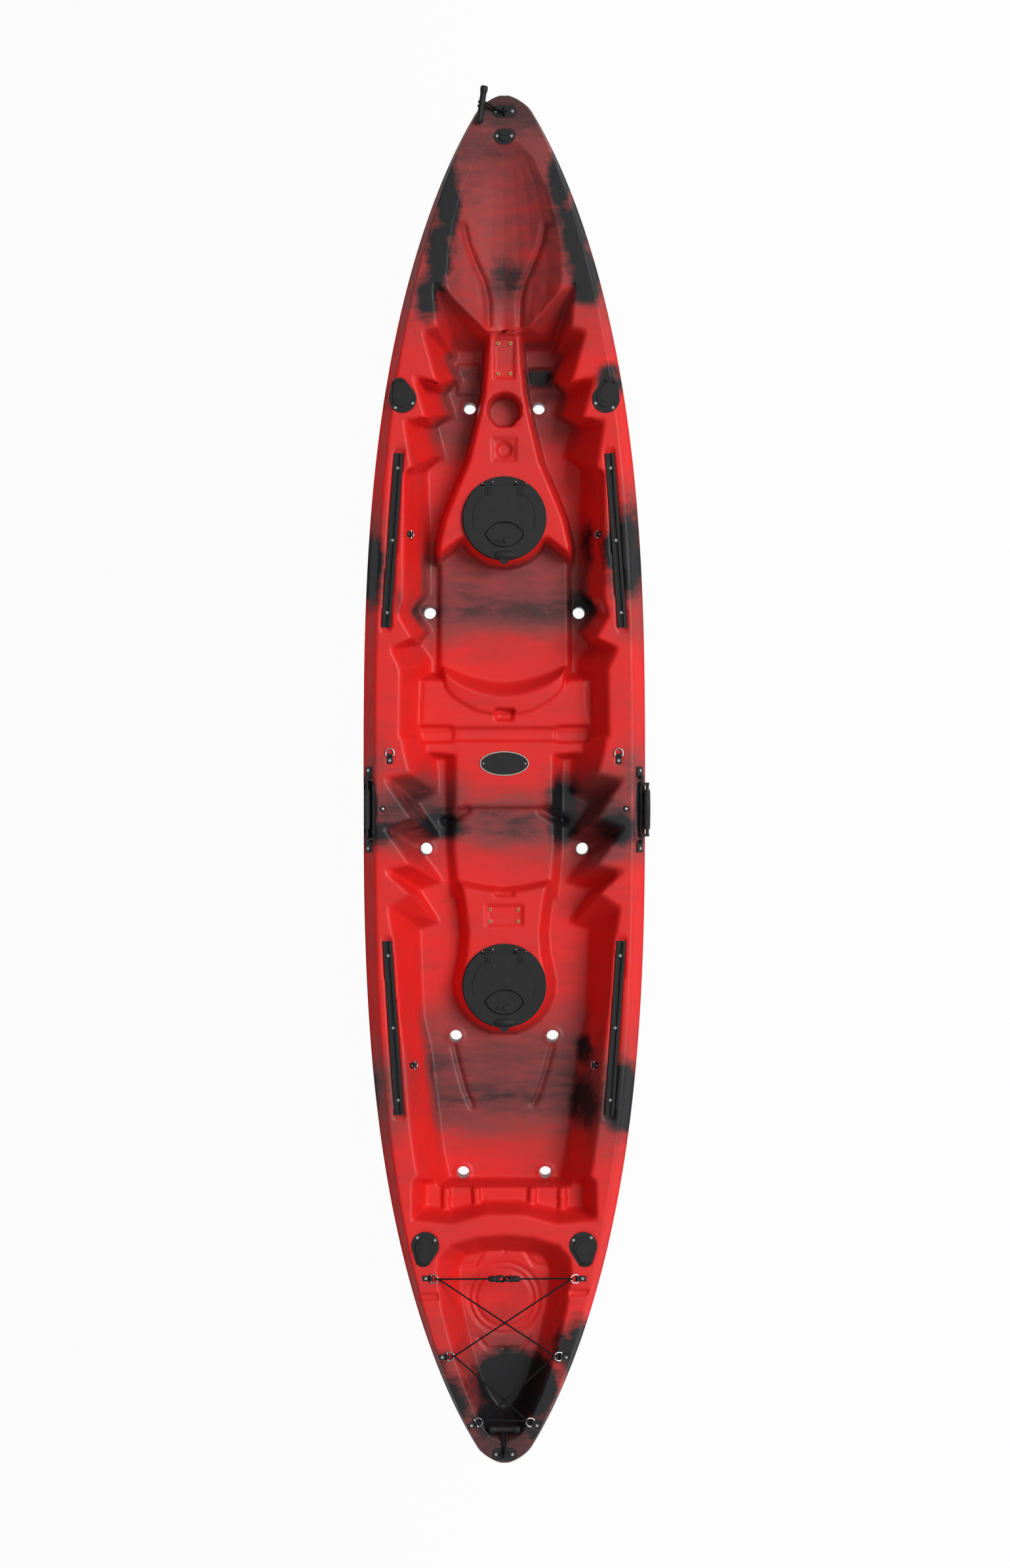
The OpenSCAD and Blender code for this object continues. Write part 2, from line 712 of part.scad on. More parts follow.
// Gear tracks: slotted rails let into the gunwales
track_places = [[326, 700, 4.3], [-326, 700, -4.3], [324, -722, -4], [-324, -722, 4]];
track_h = 11;
track_sink = 8;
track_slot = 9.2;
track_cavity = 18;
track_cavity_h = 4.5;
track_floor = 3.5;
track_screw_pitch = 211;
track_ramp = 18;
track_fit = 1;
track_out = 2;
module at_track(i) {
    on_deck(track_places[i], track_sink) children();
}
module at_track_screws(i) {
    at_track(i) for (k = [-1 : 1]) translate([0, k * track_screw_pitch, track_floor]) children();
}
module gear_track(i) {
    color("black") difference() {
        at_track(i) difference() {
            block(track_w, track_len, 0, track_h);
            block(track_slot, track_len + reach, track_floor, track_h + 1);
            block(track_cavity, track_len + reach, track_floor, track_floor + track_cavity_h);
        }
        at_track_screws(i) screw_hole(fitting_hole);
    }
}
module gear_track_screws() {
    color("silver") for (i = [0 : 3]) at_track_screws(i) screw(long_screw);
}
module track_recess() {
    end = track_len / 2 + track_fit;
    far = track_len / 2 + track_ramp;
    lip = track_sink + track_out;
    rotate([90, 0, 90]) linear_extrude(track_w + 2 * track_fit, center = true)
        polygon([[-end, 0], [end, 0], [far, lip], [far, 2 * reach], [-far, 2 * reach], [-far, lip]]);
}

// Rings and their tabs; local +Y runs from the tab's screw to the ring
tab_bar_y = 15;
tab_bar_z = 6.5;
tab_bar_half = 7;
tab_r = 4.5;
tab_w = 16;
tab_t = 3;
tab_tail = 10;
tab_foot = 1;
ring_free = 0.3;
ring_leg = 8;
stern_ring_tilt = 15;
deck_tabs = [[334, 58, 0], [-334, 58, 0]];
stern_tabs = [
    [228, -1449, 90], [-228, -1449, -90], [180, -1676, 82], [-180, -1676, -82], [95, -1872, 62],
    [-95, -1872, -62]
];
// Tabs on the well walls: place, then the wall's lean in degrees
well_tabs = [[280.5, 721, 255, 16.2], [271.5, -835, 255, 20.4]];
wall_sink = 2.5;
module on_wall(p, s) {
    c = cos(p[3]);
    d = sin(p[3]);
    multmatrix([
        [0, -s * d, -s * c, s * across(p[0])], [s, 0, 0, along(p[1])], [0, -c, d, p[2]], [0, 0, 0, 1]
    ]) translate([0, 0, -wall_sink]) children();
}
module at_tabs() {
    for (p = concat(deck_tabs, stern_tabs)) on_deck(p) children();
    for (p = well_tabs) for (s = sides) on_wall(p, s) children();
}
module ring_tabs() {
    color("black") at_tabs() difference() {
        union() {
            translate([-tab_w / 2, -tab_tail, 0]) cube([tab_w, tab_bar_y + tab_tail, tab_t]);
            translate([0, tab_bar_y, tab_bar_z]) along_x(-tab_bar_half, tab_bar_half, tab_r);
            translate([0, tab_bar_y, 0]) block(2 * tab_bar_half, 2 * tab_r, tab_foot, tab_bar_z);
        }
        translate([0, tab_bar_y, tab_bar_z]) along_x(-reach, reach, ring_wire_r + ring_free);
        translate([0, 0, tab_t]) screw_hole(fitting_hole);
    }
}
module ring_tab_screws() {
    color("silver") at_tabs() translate([0, 0, tab_t]) screw(long_screw);
}
module ring(tilt) {
    translate([0, tab_bar_y, tab_bar_z]) rotate([tilt, 0, 0]) {
        along_x(-ring_half, ring_half, ring_wire_r);
        for (s = sides) translate([s * ring_half, 0, 0]) {
            sphere(r = ring_wire_r);
            along_y(0, ring_leg, ring_wire_r);
        }
        translate([0, ring_leg, 0]) rotate_extrude(angle = 180)
            translate([ring_half, 0]) circle(r = ring_wire_r);
    }
}
module stern_rings() {
    color("silver") for (p = stern_tabs) on_deck(p) ring(stern_ring_tilt);
}
module deck_ring(i) {
    color("silver") on_deck(deck_tabs[i]) ring(0);
}
module well_ring(i, s) {
    color("silver") on_wall(well_tabs[i], s) ring(0);
}

// Side carrying handles: brackets on the sloping band, a crank rod and a soft grip
handle_y = -85;
handle_x = half_b - bevel_w / 2;
handle_z = gunwale_h - bevel_drop / 2;
bevel_tilt = atan(bevel_drop / bevel_w);
handle_axis_z = 9;
handle_throw = 16;
bracket_y = 110;
bracket = [26, 30, 4];
bracket_screw_y = 114;
pivot_in = 16;
pivot_half = 5;
pivot_r = 5;
pivot_bore_r = 2.6;
// Crank: pins in the brackets, arms and the core of the grip
crank_pin_y = 85;
crank_pin_half = 14;
crank_pin_r = 2.4;
crank_arm_y = 75;
crank_arm_r = 6;
crank_arm_t = 8;
core_half = 76;
core_r = 5;
grip_half = 60;
grip_r = 11;
grip_waist = 1.5;
grip_end = 8;
// How far each crank is turned from the band's outward normal towards the outboard side
left_crank = 180 - bevel_tilt;
right_crank = 90 - bevel_tilt;
// Recess in the hull behind each handle
handle_recess_len = 161;
handle_recess_w = 44;
handle_recess_d = 18;
handle_recess_x = 12;
module at_handle(s) {
    translate([s * handle_x, along(handle_y), handle_z]) rotate([0, s * bevel_tilt, 0]) children();
}
module at_brackets() {
    for (s = sides) at_handle(s) for (e = sides)
        translate([0, e * bracket_y, -seat_d]) rotate([0, 0, e > 0 ? 0 : 180]) children();
}
module handle_brackets() {
    axis_z = handle_axis_z + seat_d;
    color("black") at_brackets() difference() {
        union() {
            block(bracket[0], bracket[1], 0, bracket[2]);
            translate([0, -pivot_in, axis_z]) along_y(-pivot_half, pivot_half, pivot_r);
            translate([0, -pivot_in, 0]) block(2 * pivot_r, 2 * pivot_half, 0, axis_z);
        }
        translate([0, -pivot_in, axis_z]) along_y(-2 * pivot_half, 2 * pivot_half, pivot_bore_r);
        translate([0, bracket_screw_y - bracket_y, bracket[2]]) screw_hole(fitting_hole);
    }
}
module handle_screws() {
    color("silver") at_brackets() translate([0, bracket_screw_y - bracket_y, bracket[2]]) screw(screw_len);
}
module at_crank(s, angle) {
    at_handle(s) translate([0, 0, handle_axis_z]) rotate([0, s * angle, 0]) children();
}
module handle_rod(s, angle) {
    color("black") at_crank(s, angle) {
        for (e = sides) {
            translate([0, e * crank_pin_y, 0]) along_y(-crank_pin_half, crank_pin_half, crank_pin_r);
            translate([0, e * crank_arm_y, handle_throw / 2]) rotate([90, 90, 0])
                translate([0, 0, -crank_arm_t / 2]) stadium(handle_throw, crank_arm_r, crank_arm_t);
        }
        translate([0, 0, handle_throw]) along_y(-core_half, core_half, core_r);
    }
}
module handle_grip(s, angle) {
    color("dimgray") at_crank(s, angle) translate([0, 0, handle_throw]) difference() {
        union() {
            along_y(-grip_half, grip_half, grip_r - grip_waist);
            for (e = sides) translate([0, e * (grip_half - grip_end / 2), 0])
                along_y(-grip_end / 2, grip_end / 2, grip_r);
        }
        along_y(-core_half, core_half, core_r);
    }
}
module handle_recess(t) {
    for (s = sides) at_handle(s) translate([s * handle_recess_x, 0, 0])
        block(handle_recess_w + 2 * t, handle_recess_len + 2 * t, -handle_recess_d - t, 2 * reach);
}

// Bow and stern grab handles: a saddle, a doubled cord round its bail, and a toggle
bow_saddle_y = 1933;
stern_saddle_y = -1954;
saddle_l = 35;
saddle_r = 17;
saddle_h = 4;
saddle_screw_x = 24;
bail_r = 3.5;
bail_half = 10;
bail_z = 5;
bail_foot = 2;
cord_r = 3;
cord_sides = 8;
module at_bow() {
    on_deck([0, bow_saddle_y, 0]) children();
}
module at_stern() {
    on_deck([0, stern_saddle_y, 0]) children();
}
module at_saddle_screws() {
    for (s = sides) translate([s * saddle_screw_x, 0, saddle_h]) children();
}
module saddle(turn) {
    color("black") difference() {
        union() {
            stadium(saddle_l, saddle_r, saddle_h);
            rotate([0, 0, turn]) {
                translate([0, 0, bail_z]) rotate([90, 0, 0]) rotate_extrude(angle = 180)
                    translate([bail_half, 0]) circle(r = bail_r);
                for (s = sides) translate([s * bail_half, 0, bail_foot])
                    cylinder(r = bail_r, h = bail_z - bail_foot + eps);
            }
        }
        at_saddle_screws() screw_hole(fitting_hole);
    }
}
module saddle_screws() {
    color("silver") {
        at_bow() at_saddle_screws() screw(screw_len);
        at_stern() at_saddle_screws() screw(screw_len);
    }
}
// Turn of the cord round the bail, as distance away from the toggle and height
under_gap = 0.7;
over_gap = 0.4;
under_z = bail_z + bail_half - bail_r - cord_r - under_gap;
over_z = bail_z + bail_half + bail_r + cord_r + over_gap;
function bail_turn() = let (c = (under_z + over_z) / 2, r = (over_z - under_z) / 2)
    [for (a = [-90 : 45 : 90]) [r * cos(a), c + r * sin(a)]];
bow_toggle_at = [-65, 19, 13.3];
bow_toggle_lean = -8.5;
stern_toggle_at = [0, 72, 2];
bow_cord_path = smooth(concat(
    [
        [-73.3, 14.2, 13.3], [-65.9, 13.1, 13.3], [-52, 11, 13.3], [-38, 7.4, 12.4], [-24, 3, 10.8],
        [-13, 0.4, 8.6]
    ],
    [for (q = bail_turn()) [q[0], 0, q[1]]],
    [[-14, 1.4, 20.6], [-30, 10, 17], [-50.3, 22.9, 13.3], [-64.1, 24.9, 13.3], [-71.5, 26, 13.3]]
), 2);
stern_cord_path = smooth(concat(
    [[-6, 79.3, 2], [-6, 66, 2], [-6, 58, 2.3], [-5, 36, 6.4], [-3, 18, 7.4]],
    [for (q = bail_turn()) [0, -q[0], q[1]]],
    [[3, 18, 19], [5, 34, 13], [6, 48, 6], [6, 58, 2.4], [6, 66, 2], [6, 79.3, 2]]
), 2);
// A waisted bar with two holes; each cord's knot sits in a pocket on the far side
toggle_hole = 6;
toggle_hole_gap = 0.6;
toggle_round = 3;
toggle_tip = 4;
toggle_head = 14;
toggle_neck = 22;
toggle_waist = 2;
knot_r = 5;
knot_gap = 0.4;
knot_seat = -3.5;
module toggle(len, hole_turn) {
    half = len / 2;
    side = [
        [toggle_r - toggle_round, half], [toggle_r, half - toggle_tip], [toggle_r, half - toggle_head],
        [toggle_r - toggle_waist, half - toggle_neck]
    ];
    color("dimgray") difference() {
        rotate_extrude() polygon(concat(
            [[0, -half]], [for (q = side) [q[0], -q[1]]], reversed(side), [[0, half]]
        ));
        for (s = sides) translate([0, 0, s * toggle_hole]) rotate([0, 0, hole_turn]) {
            along_x(-reach, reach, cord_r + toggle_hole_gap);
            along_x(-reach, knot_seat, knot_r + knot_gap);
        }
    }
}
module bow_toggle() {
    at_bow() translate(bow_toggle_at) rotate([90, 0, bow_toggle_lean]) toggle(bow_toggle_len, 0);
}
module stern_toggle() {
    at_stern() translate(stern_toggle_at) rotate([0, 90, 0]) toggle(stern_toggle_len, -90);
}
// A cord with a knot at each end
module knotted(path) {
    color("black") {
        tube(path, cord_r, cord_sides);
        for (p = [path[0], path[len(path) - 1]]) translate(p) sphere(r = knot_r);
    }
}
module bow_cord() {
    at_bow() knotted(bow_cord_path);
}
module stern_cord() {
    at_stern() knotted(stern_cord_path);
}

// Drain plug on the foredeck
drain_y = 1863;
drain_flange_l = 16;
drain_flange_r = 22;
drain_flange_h = 4;
drain_bore_r = 9.6;
drain_collar_r = 12.6;
drain_collar_h = 18;
drain_screw_x = 21;
drain_seal_r = 1.3;
drain_seal_ring = 11.5;
drain_cap_r = 14;
drain_cap_h = 4.5;
drain_cap_z = drain_flange_h + 2 * drain_seal_r;
drain_plug_in = 14;
drain_plug_gap = 0.3;
drain_slot_l = 22;
drain_slot_w = 3;
drain_slot_up = 2;
module at_drain() {
    on_deck([0, drain_y, 0]) children();
}
module at_drain_screws() {
    at_drain() for (s = sides) translate([s * drain_screw_x, 0, drain_flange_h]) children();
}
module drain_flange() {
    color("black") difference() {
        at_drain() difference() {
            union() {
                stadium(drain_flange_l, drain_flange_r, drain_flange_h);
                translate([0, 0, -drain_collar_h]) cylinder(r = drain_collar_r, h = drain_collar_h + 1);
            }
            translate([0, 0, -reach]) cylinder(r = drain_bore_r, h = 2 * reach);
        }
        at_drain_screws() screw_hole(fitting_hole);
    }
}
module drain_plug() {
    color("dimgray") at_drain() difference() {
        union() {
            translate([0, 0, drain_cap_z]) cylinder(r = drain_cap_r, h = drain_cap_h);
            translate([0, 0, -drain_plug_in])
                cylinder(r = drain_bore_r - drain_plug_gap, h = drain_plug_in + drain_cap_z + 1);
        }
        block(drain_slot_l, drain_slot_w, drain_cap_z + drain_slot_up, drain_cap_z + reach);
    }
}
module drain_seal() {
    color("gray") at_drain() translate([0, 0, drain_flange_h + drain_seal_r]) rotate_extrude()
        translate([drain_seal_ring, 0]) circle(r = drain_seal_r);
}
module drain_screws() {
    color("silver") at_drain_screws() screw(screw_len);
}

// Threaded inserts in the two console pads: pad centres, half spacings and pad sizes
pad_d = 3;
insert_len = 14;
insert_floor = 2;
insert_wall = 4;
front_pad_y = 1242;
rear_pad_y = -398;
front_pad = [0, along(front_pad_y), front_console_z - pad_d];
rear_pad = [0, along(rear_pad_y), rear_console_z - pad_d];
front_inserts = [18, 44.5];
rear_inserts = [41, 17.5];
front_pad_size = [62, 120];
rear_pad_size = [109, 62];
module at_inserts() {
    for (a = sides) for (b = sides) {
        translate(front_pad + [a * front_inserts[0], b * front_inserts[1], 0]) children();
        translate(rear_pad + [a * rear_inserts[0], b * rear_inserts[1], 0]) children();
    }
}
module threaded_inserts() {
    color("gold") at_inserts() translate([0, 0, -insert_len]) difference() {
        cylinder(r = insert_r, h = insert_len);
        translate([0, 0, insert_floor]) cylinder(r = insert_bore_r, h = insert_len);
    }
}

// Blank oval plate and its rivets
plate_y = 50;
plate_at = [0, along(plate_y), bridge_z];
plate_half = [73, 36.5];
plate_step = 6;
plate_h = 2;
rivet_x = 62;
rivet_r = 1.6;
rivet_hole_r = 1.8;
rivet_head = [3.4, 2.2, 1.3];
rivet_len = 8;
rivet_hole_len = 12;
module at_rivets() {
    translate(plate_at) for (s = sides) translate([s * rivet_x, 0, plate_h]) children();
}
module oval_plate() {
    color("black") difference() {
        translate(plate_at) linear_extrude(plate_h)
            polygon([for (a = [0 : plate_step : 359]) [plate_half[0] * cos(a), plate_half[1] * sin(a)]]);
        at_rivets() translate([0, 0, -rivet_len]) cylinder(r = rivet_hole_r, h = 2 * rivet_len);
    }
}
module plate_rivets() {
    color("silver") at_rivets() {
        cylinder(r1 = rivet_head[0], r2 = rivet_head[1], h = rivet_head[2]);
        translate([0, 0, -rivet_len]) cylinder(r = rivet_r, h = rivet_len + eps);
    }
}

// The two gunwale buttons
button_places = [[355, -83, 0], [-355, -83, 0]];
button_r = 9;
button_h = 3;
button_crown = [6, 4.5, 2];
button_fit = 1.5;
module deck_buttons() {
    color("dimgray") for (p = button_places) on_deck(p) {
        cylinder(r = button_r, h = button_h);
        translate([0, 0, button_h - eps])
            cylinder(r1 = button_crown[0], r2 = button_crown[1], h = button_crown[2]);
        translate([0, 0, -screw_len]) cylinder(r = screw_r, h = screw_len + eps);
    }
}

// Shock cord over the tank well: round the six rings, its ends joined by a hook and an eye
function deck_point(p, q) = let (
    y = along(p[1]), a = deck_slope(y), c = cos(p[2]), s = sin(p[2]),
    u = [q[0] * c - q[1] * s, q[0] * s + q[1] * c, q[2] - seat_d]
) [across(p[0]) + u[0], y + u[1] * cos(a) - u[2] * sin(a), gunwale_z(y) + u[1] * sin(a) + u[2] * cos(a)];
ring_reach = ring_leg + ring_half;
function ring_end(i) = deck_point(stern_tabs[i], [
    0, tab_bar_y + ring_reach * cos(stern_ring_tilt), tab_bar_z + ring_reach * sin(stern_ring_tilt)
]);
ring_dip = 0.2;
function to_tab(i) = [sin(stern_tabs[i][2]), -cos(stern_tabs[i][2]), -ring_dip];
// The cord round ring i; way is 1 where it comes in over the wire, -1 where it comes in under it
bend_gap = 0.5;
bend_r = ring_wire_r + bungee_r + bend_gap;
function bend(i, way) = [
    for (a = [90 : -45 : -90])
        ring_end(i) + bend_r * (cos(a) * unit(to_tab(i)) + way * sin(a) * [0, 0, 1])
];
// Where the cord's ends lie in the two barrels, from the middle of the hook and eye
cord_ends = [28, 44, 50];
cord_turn = 0.1;
hook_at = (ring_end(0) + ring_end(1)) / 2;
bungee_path = concat(
    [for (k = [0 : 2]) hook_at + [-cord_ends[k], 0, k > 1 ? cord_turn : 0]],
    bend(1, 1), bend(2, -1), bend(5, 1), bend(4, 1), bend(3, -1), bend(0, 1),
    [for (k = [2 : -1 : 0]) hook_at + [cord_ends[k], 0, k > 1 ? -cord_turn : 0]]
);
barrel = [14, 46];
barrel_r = 6;
barrel_wall = 12;
barrel_gap = 0.02;
link_x = 3.5;
link_r = 6;
link_wire = 2;
hook_turn = 300;
module bungee_cord() {
    color("black") tube(bungee_path, bungee_r, cord_sides);
}
module cord_barrel() {
    difference() {
        along_x(barrel[0], barrel[1], barrel_r);
        along_x(barrel[0] + barrel_wall, barrel[1] + 1, bungee_r + barrel_gap);
    }
    along_x(link_x + link_r - 1, barrel[0] + 1, link_wire);
}
module bungee_hook() {
    color("dimgray") translate(hook_at) rotate([0, 0, 180]) {
        cord_barrel();
        translate([link_x, 0, 0]) rotate_extrude(angle = hook_turn)
            translate([link_r, 0]) circle(r = link_wire);
    }
}
module bungee_eye() {
    color("dimgray") translate(hook_at) {
        cord_barrel();
        translate([link_x, 0, 0]) rotate([90, 0, 0]) rotate_extrude()
            translate([link_r, 0]) circle(r = link_wire);
    }
}

// Forms of the deck for the fittings: cup holder, square pad with a round dimple, ring line in the tank well
cup_y = 1090;
square_pad = [70, 68];
square_pad_y = 974;
square_pad_d = 2.5;
dimple_r = 22;
dimple_d = 9;
ring_line_y = -1523;
ring_line_r = [98, 104];
ring_line_d = 2.5;
// Room left round each fitting in its seat or hole
rod_seat_gap = 1.2;
plate_gap = 1;
tab_seat = [19, 33];
tab_seat_y = 5;
bracket_seat = [29, 42];
bracket_seat_y = 106;
hatch_fit = 0.5;
rod_fit = 0.8;
drain_fit = 0.4;
// Numbers of sides of the rounds that only shape the moulding
seat_fn = 20;
boss_fn = 18;
tube_fn = 14;
module seat_round(gap) {
    linear_extrude(2 * reach) offset(delta = gap) projection() children();
}
// Shallow seats cut only in the outer skin
module seats() {
    for (i = [0 : 3]) at_rod(i) seat_round(rod_seat_gap) drop_plate(rod_flange, rod_flange_h, $fn = seat_fn);
    for (i = [0 : 3]) at_track(i) track_recess();
    at_tabs() translate([0, tab_seat_y, 0]) block(tab_seat[0], tab_seat[1], 0, reach);
    at_bow() seat_round(plate_gap) stadium(saddle_l, saddle_r, saddle_h, $fn = seat_fn);
    at_stern() seat_round(plate_gap) stadium(saddle_l, saddle_r, saddle_h, $fn = seat_fn);
    at_drain() seat_round(plate_gap) stadium(drain_flange_l, drain_flange_r, drain_flange_h, $fn = seat_fn);
    for (s = sides) at_handle(s) for (e = sides) translate([0, e * bracket_seat_y, 0])
        block(bracket_seat[0], bracket_seat[1], -seat_d, reach);
    for (p = button_places) on_deck(p) cylinder(r = button_r + button_fit, h = reach, $fn = seat_fn);
    translate(front_pad) block(front_pad_size[0], front_pad_size[1], 0, reach);
    translate(rear_pad) block(rear_pad_size[0], rear_pad_size[1], 0, reach);
    translate([0, along(square_pad_y), front_console_z - square_pad_d])
        block(square_pad[0], square_pad[1], 0, reach);
}
// Holes, all true rounds
module hatch_holes() {
    translate([0, 0, -2 * reach]) cylinder(r = hatch_bore_r + hatch_wall + hatch_fit, h = 3 * reach);
    at_hatch_screws() screw_hole(hull_hole);
}
module holes() {
    scupper_tubes(scupper_r, $fn);
    at_front_hatch() hatch_holes();
    at_rear_hatch() hatch_holes();
    translate([0, along(cup_y), front_console_z - cup_depth]) cylinder(r = cup_r, h = cup_depth + reach);
    translate([0, along(square_pad_y), front_console_z - dimple_d]) cylinder(r = dimple_r, h = reach);
    for (i = [0 : 3]) {
        at_rod(i) {
            rotate([-rod_lean, 0, 0]) translate([0, 0, -2 * reach])
                cylinder(r = rod_bore_r + rod_wall + rod_fit, h = 3 * reach);
            for (p = rod_screws) translate([p[0], p[1], 0]) screw_hole(hull_hole);
        }
        at_track_screws(i) screw_hole(hull_hole);
    }
    at_tabs() screw_hole(hull_hole);
    at_bow() at_saddle_screws() screw_hole(hull_hole);
    at_stern() at_saddle_screws() screw_hole(hull_hole);
    at_drain() translate([0, 0, -reach]) cylinder(r = drain_collar_r + drain_fit, h = 2 * reach);
    at_drain_screws() screw_hole(hull_hole);
    at_brackets() translate([0, bracket_screw_y - bracket_y, 0]) screw_hole(hull_hole);
    for (p = button_places) on_deck(p) screw_hole(hull_hole);
    at_inserts() translate([0, 0, -insert_len]) cylinder(r = insert_r, h = 2 * insert_len);
    at_rivets() translate([0, 0, -rivet_hole_len]) cylinder(r = rivet_hole_r, h = 2 * rivet_hole_len);
    translate([0, along(ring_line_y), tank_floor - ring_line_d]) difference() {
        cylinder(r = ring_line_r[1], h = 2 * ring_line_d);
        translate([0, 0, -1]) cylinder(r = ring_line_r[0], h = 3 * ring_line_d);
    }
}
// Plastic kept round the blind holes, inside the wall
module bosses(t) {
    translate([0, along(cup_y), front_console_z - cup_depth - t])
        cylinder(r = cup_r + t, h = cup_depth + reach);
    at_inserts() translate([0, 0, -insert_len - insert_wall])
        cylinder(r = insert_r + insert_wall, h = insert_len + reach, $fn = tube_fn);
    translate([0, along(square_pad_y), front_console_z - dimple_d - t])
        cylinder(r = dimple_r + t, h = reach, $fn = boss_fn);
    for (i = [0 : 3]) at_track(i)
        block(track_w + 2 * (track_fit + t), track_len + 2 * (track_ramp + t), -t, 2 * reach);
    scupper_tubes(scupper_r + t, tube_fn);
}

// The hollow moulding: outer form less inner form, then its seats and holes
module wells(t) {
    difference() {
        union() {
            front_well(t);
            rear_well(t);
        }
        front_console(t);
        seat(t);
        bridge(t);
        mid_seat(t);
        rear_console(t);
    }
    rear_shelf(t);
    tank_well(t);
    dish(t);
    trough(t);
    seat_notches(t);
    handle_recess(t);
}
module moulding(t) {
    difference() {
        hull_body(t);
        wells(t);
        if (t > 0) bosses(t);
    }
}
module hull_shell() {
    color("crimson") difference() {
        resize([hull_beam, hull_length, 0]) difference() {
            moulding(0);
            moulding(wall);
            seats();
        }
        holes();
    }
}

// What is drawn
hull_shell();
at_front_hatch() hatch_rim();  // front_hatch_rim
at_front_hatch() hatch_lid();  // front_hatch_lid
at_front_hatch() hatch_seal();  // front_hatch_seal
at_front_hatch() hatch_pins();  // front_hatch_pins
at_front_hatch() hatch_latch();  // front_hatch_latch
at_rear_hatch() hatch_rim();  // rear_hatch_rim
at_rear_hatch() hatch_lid();  // rear_hatch_lid
at_rear_hatch() hatch_seal();  // rear_hatch_seal
at_rear_hatch() hatch_pins();  // rear_hatch_pins
at_rear_hatch() hatch_latch();  // rear_hatch_latch
hatch_screws();
rod_holder(0);  // rod_holder_fr
rod_holder(1);  // rod_holder_fl
rod_holder(2);  // rod_holder_rr
rod_holder(3);  // rod_holder_rl
rod_cap(0);  // rod_cap_fr
rod_cap(1);  // rod_cap_fl
rod_cap(2);  // rod_cap_rr
rod_cap(3);  // rod_cap_rl
rod_holder_screws();
gear_track(0);  // gear_track_fr
gear_track(1);  // gear_track_fl
gear_track(2);  // gear_track_rr
gear_track(3);  // gear_track_rl
gear_track_screws();
ring_tabs();
ring_tab_screws();
stern_rings();
deck_ring(0);  // deck_ring_r
deck_ring(1);  // deck_ring_l
well_ring(0, 1);  // well_ring_fr
well_ring(0, -1);  // well_ring_fl
well_ring(1, 1);  // well_ring_rr
well_ring(1, -1);  // well_ring_rl
bungee_cord();
bungee_hook();
bungee_eye();
handle_brackets();
handle_screws();
handle_rod(1, right_crank);  // handle_rod_r
handle_grip(1, right_crank);  // handle_grip_r
handle_rod(-1, left_crank);  // handle_rod_l
handle_grip(-1, left_crank);  // handle_grip_l
at_bow() saddle(90);  // bow_saddle
bow_cord();
bow_toggle();
at_stern() saddle(0);  // stern_saddle
stern_cord();
stern_toggle();
saddle_screws();
drain_flange();
drain_plug();
drain_seal();
drain_screws();
threaded_inserts();
oval_plate();
plate_rivets();
deck_buttons();
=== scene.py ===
# %% [markdown]
# A sit-on-top kayak for two paddlers. The boat is one hollow plastic moulding, swirled in
# red and black, with black fittings screwed to its deck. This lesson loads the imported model
# as a fixed frame, and then gives each piece the form and the finish of the real one.

import json
import math

import bpy
import numpy as np
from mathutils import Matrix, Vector
from mathutils.bvhtree import BVHTree
from mathutils.kdtree import KDTree


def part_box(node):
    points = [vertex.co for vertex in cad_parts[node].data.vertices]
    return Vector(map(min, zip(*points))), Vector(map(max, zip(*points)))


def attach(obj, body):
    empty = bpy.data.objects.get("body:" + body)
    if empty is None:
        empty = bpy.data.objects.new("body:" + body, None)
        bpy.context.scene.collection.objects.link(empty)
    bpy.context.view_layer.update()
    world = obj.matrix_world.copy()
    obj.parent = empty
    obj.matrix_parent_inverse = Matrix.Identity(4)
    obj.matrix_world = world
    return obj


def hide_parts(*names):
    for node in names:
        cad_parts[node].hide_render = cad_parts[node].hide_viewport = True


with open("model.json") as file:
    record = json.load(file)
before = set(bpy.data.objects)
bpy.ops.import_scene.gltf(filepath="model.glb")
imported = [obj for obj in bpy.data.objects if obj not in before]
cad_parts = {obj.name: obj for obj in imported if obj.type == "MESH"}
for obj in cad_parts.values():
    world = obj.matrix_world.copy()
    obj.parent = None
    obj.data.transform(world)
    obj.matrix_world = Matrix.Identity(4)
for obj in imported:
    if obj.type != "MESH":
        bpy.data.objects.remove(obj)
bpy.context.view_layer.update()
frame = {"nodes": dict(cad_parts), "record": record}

# %% [markdown]
# The photograph looks straight down from high above the deck. A camera with no turn in
# Blender already looks down with +Y at the top of the picture, so only its height, its place
# over the boat and its angle are chosen. One pixel of the photograph is 1.914 mm at the deck.

# %% Camera over the deck
PIXEL = 0.001914
PHOTO_ROWS = 2391
GUNWALE = 0.28
CAMERA_RISE = 9.0
CAMERA_OVER = (0.002, -0.0105)
SIGHT = 60
bpy.ops.object.select_all(action="DESELECT")
bpy.ops.object.camera_add(location=(*CAMERA_OVER, GUNWALE + CAMERA_RISE), rotation=(0, 0, 0))
camera = bpy.context.object
camera.name = "camera"
camera.data.sensor_fit = "VERTICAL"
camera.data.angle = 2 * math.atan(PIXEL * PHOTO_ROWS / 2 / CAMERA_RISE)
camera.data.clip_end = SIGHT
bpy.context.scene.camera = camera
print("camera angle", round(math.degrees(camera.data.angle), 1))

# %% [markdown]
# Three cords come first: the shock cord laced over the stern well, and the two cords of the
# carry toggles. Each is a tube along the same route as its solid, in millimetres. The tube
# gets its own UV map, round and along, so that a braid can follow every bend.

# %% Braided cord along a route
MILLIMETRES = 1000
OFF_ROUTE = (0.3, 0.2, 0.93)


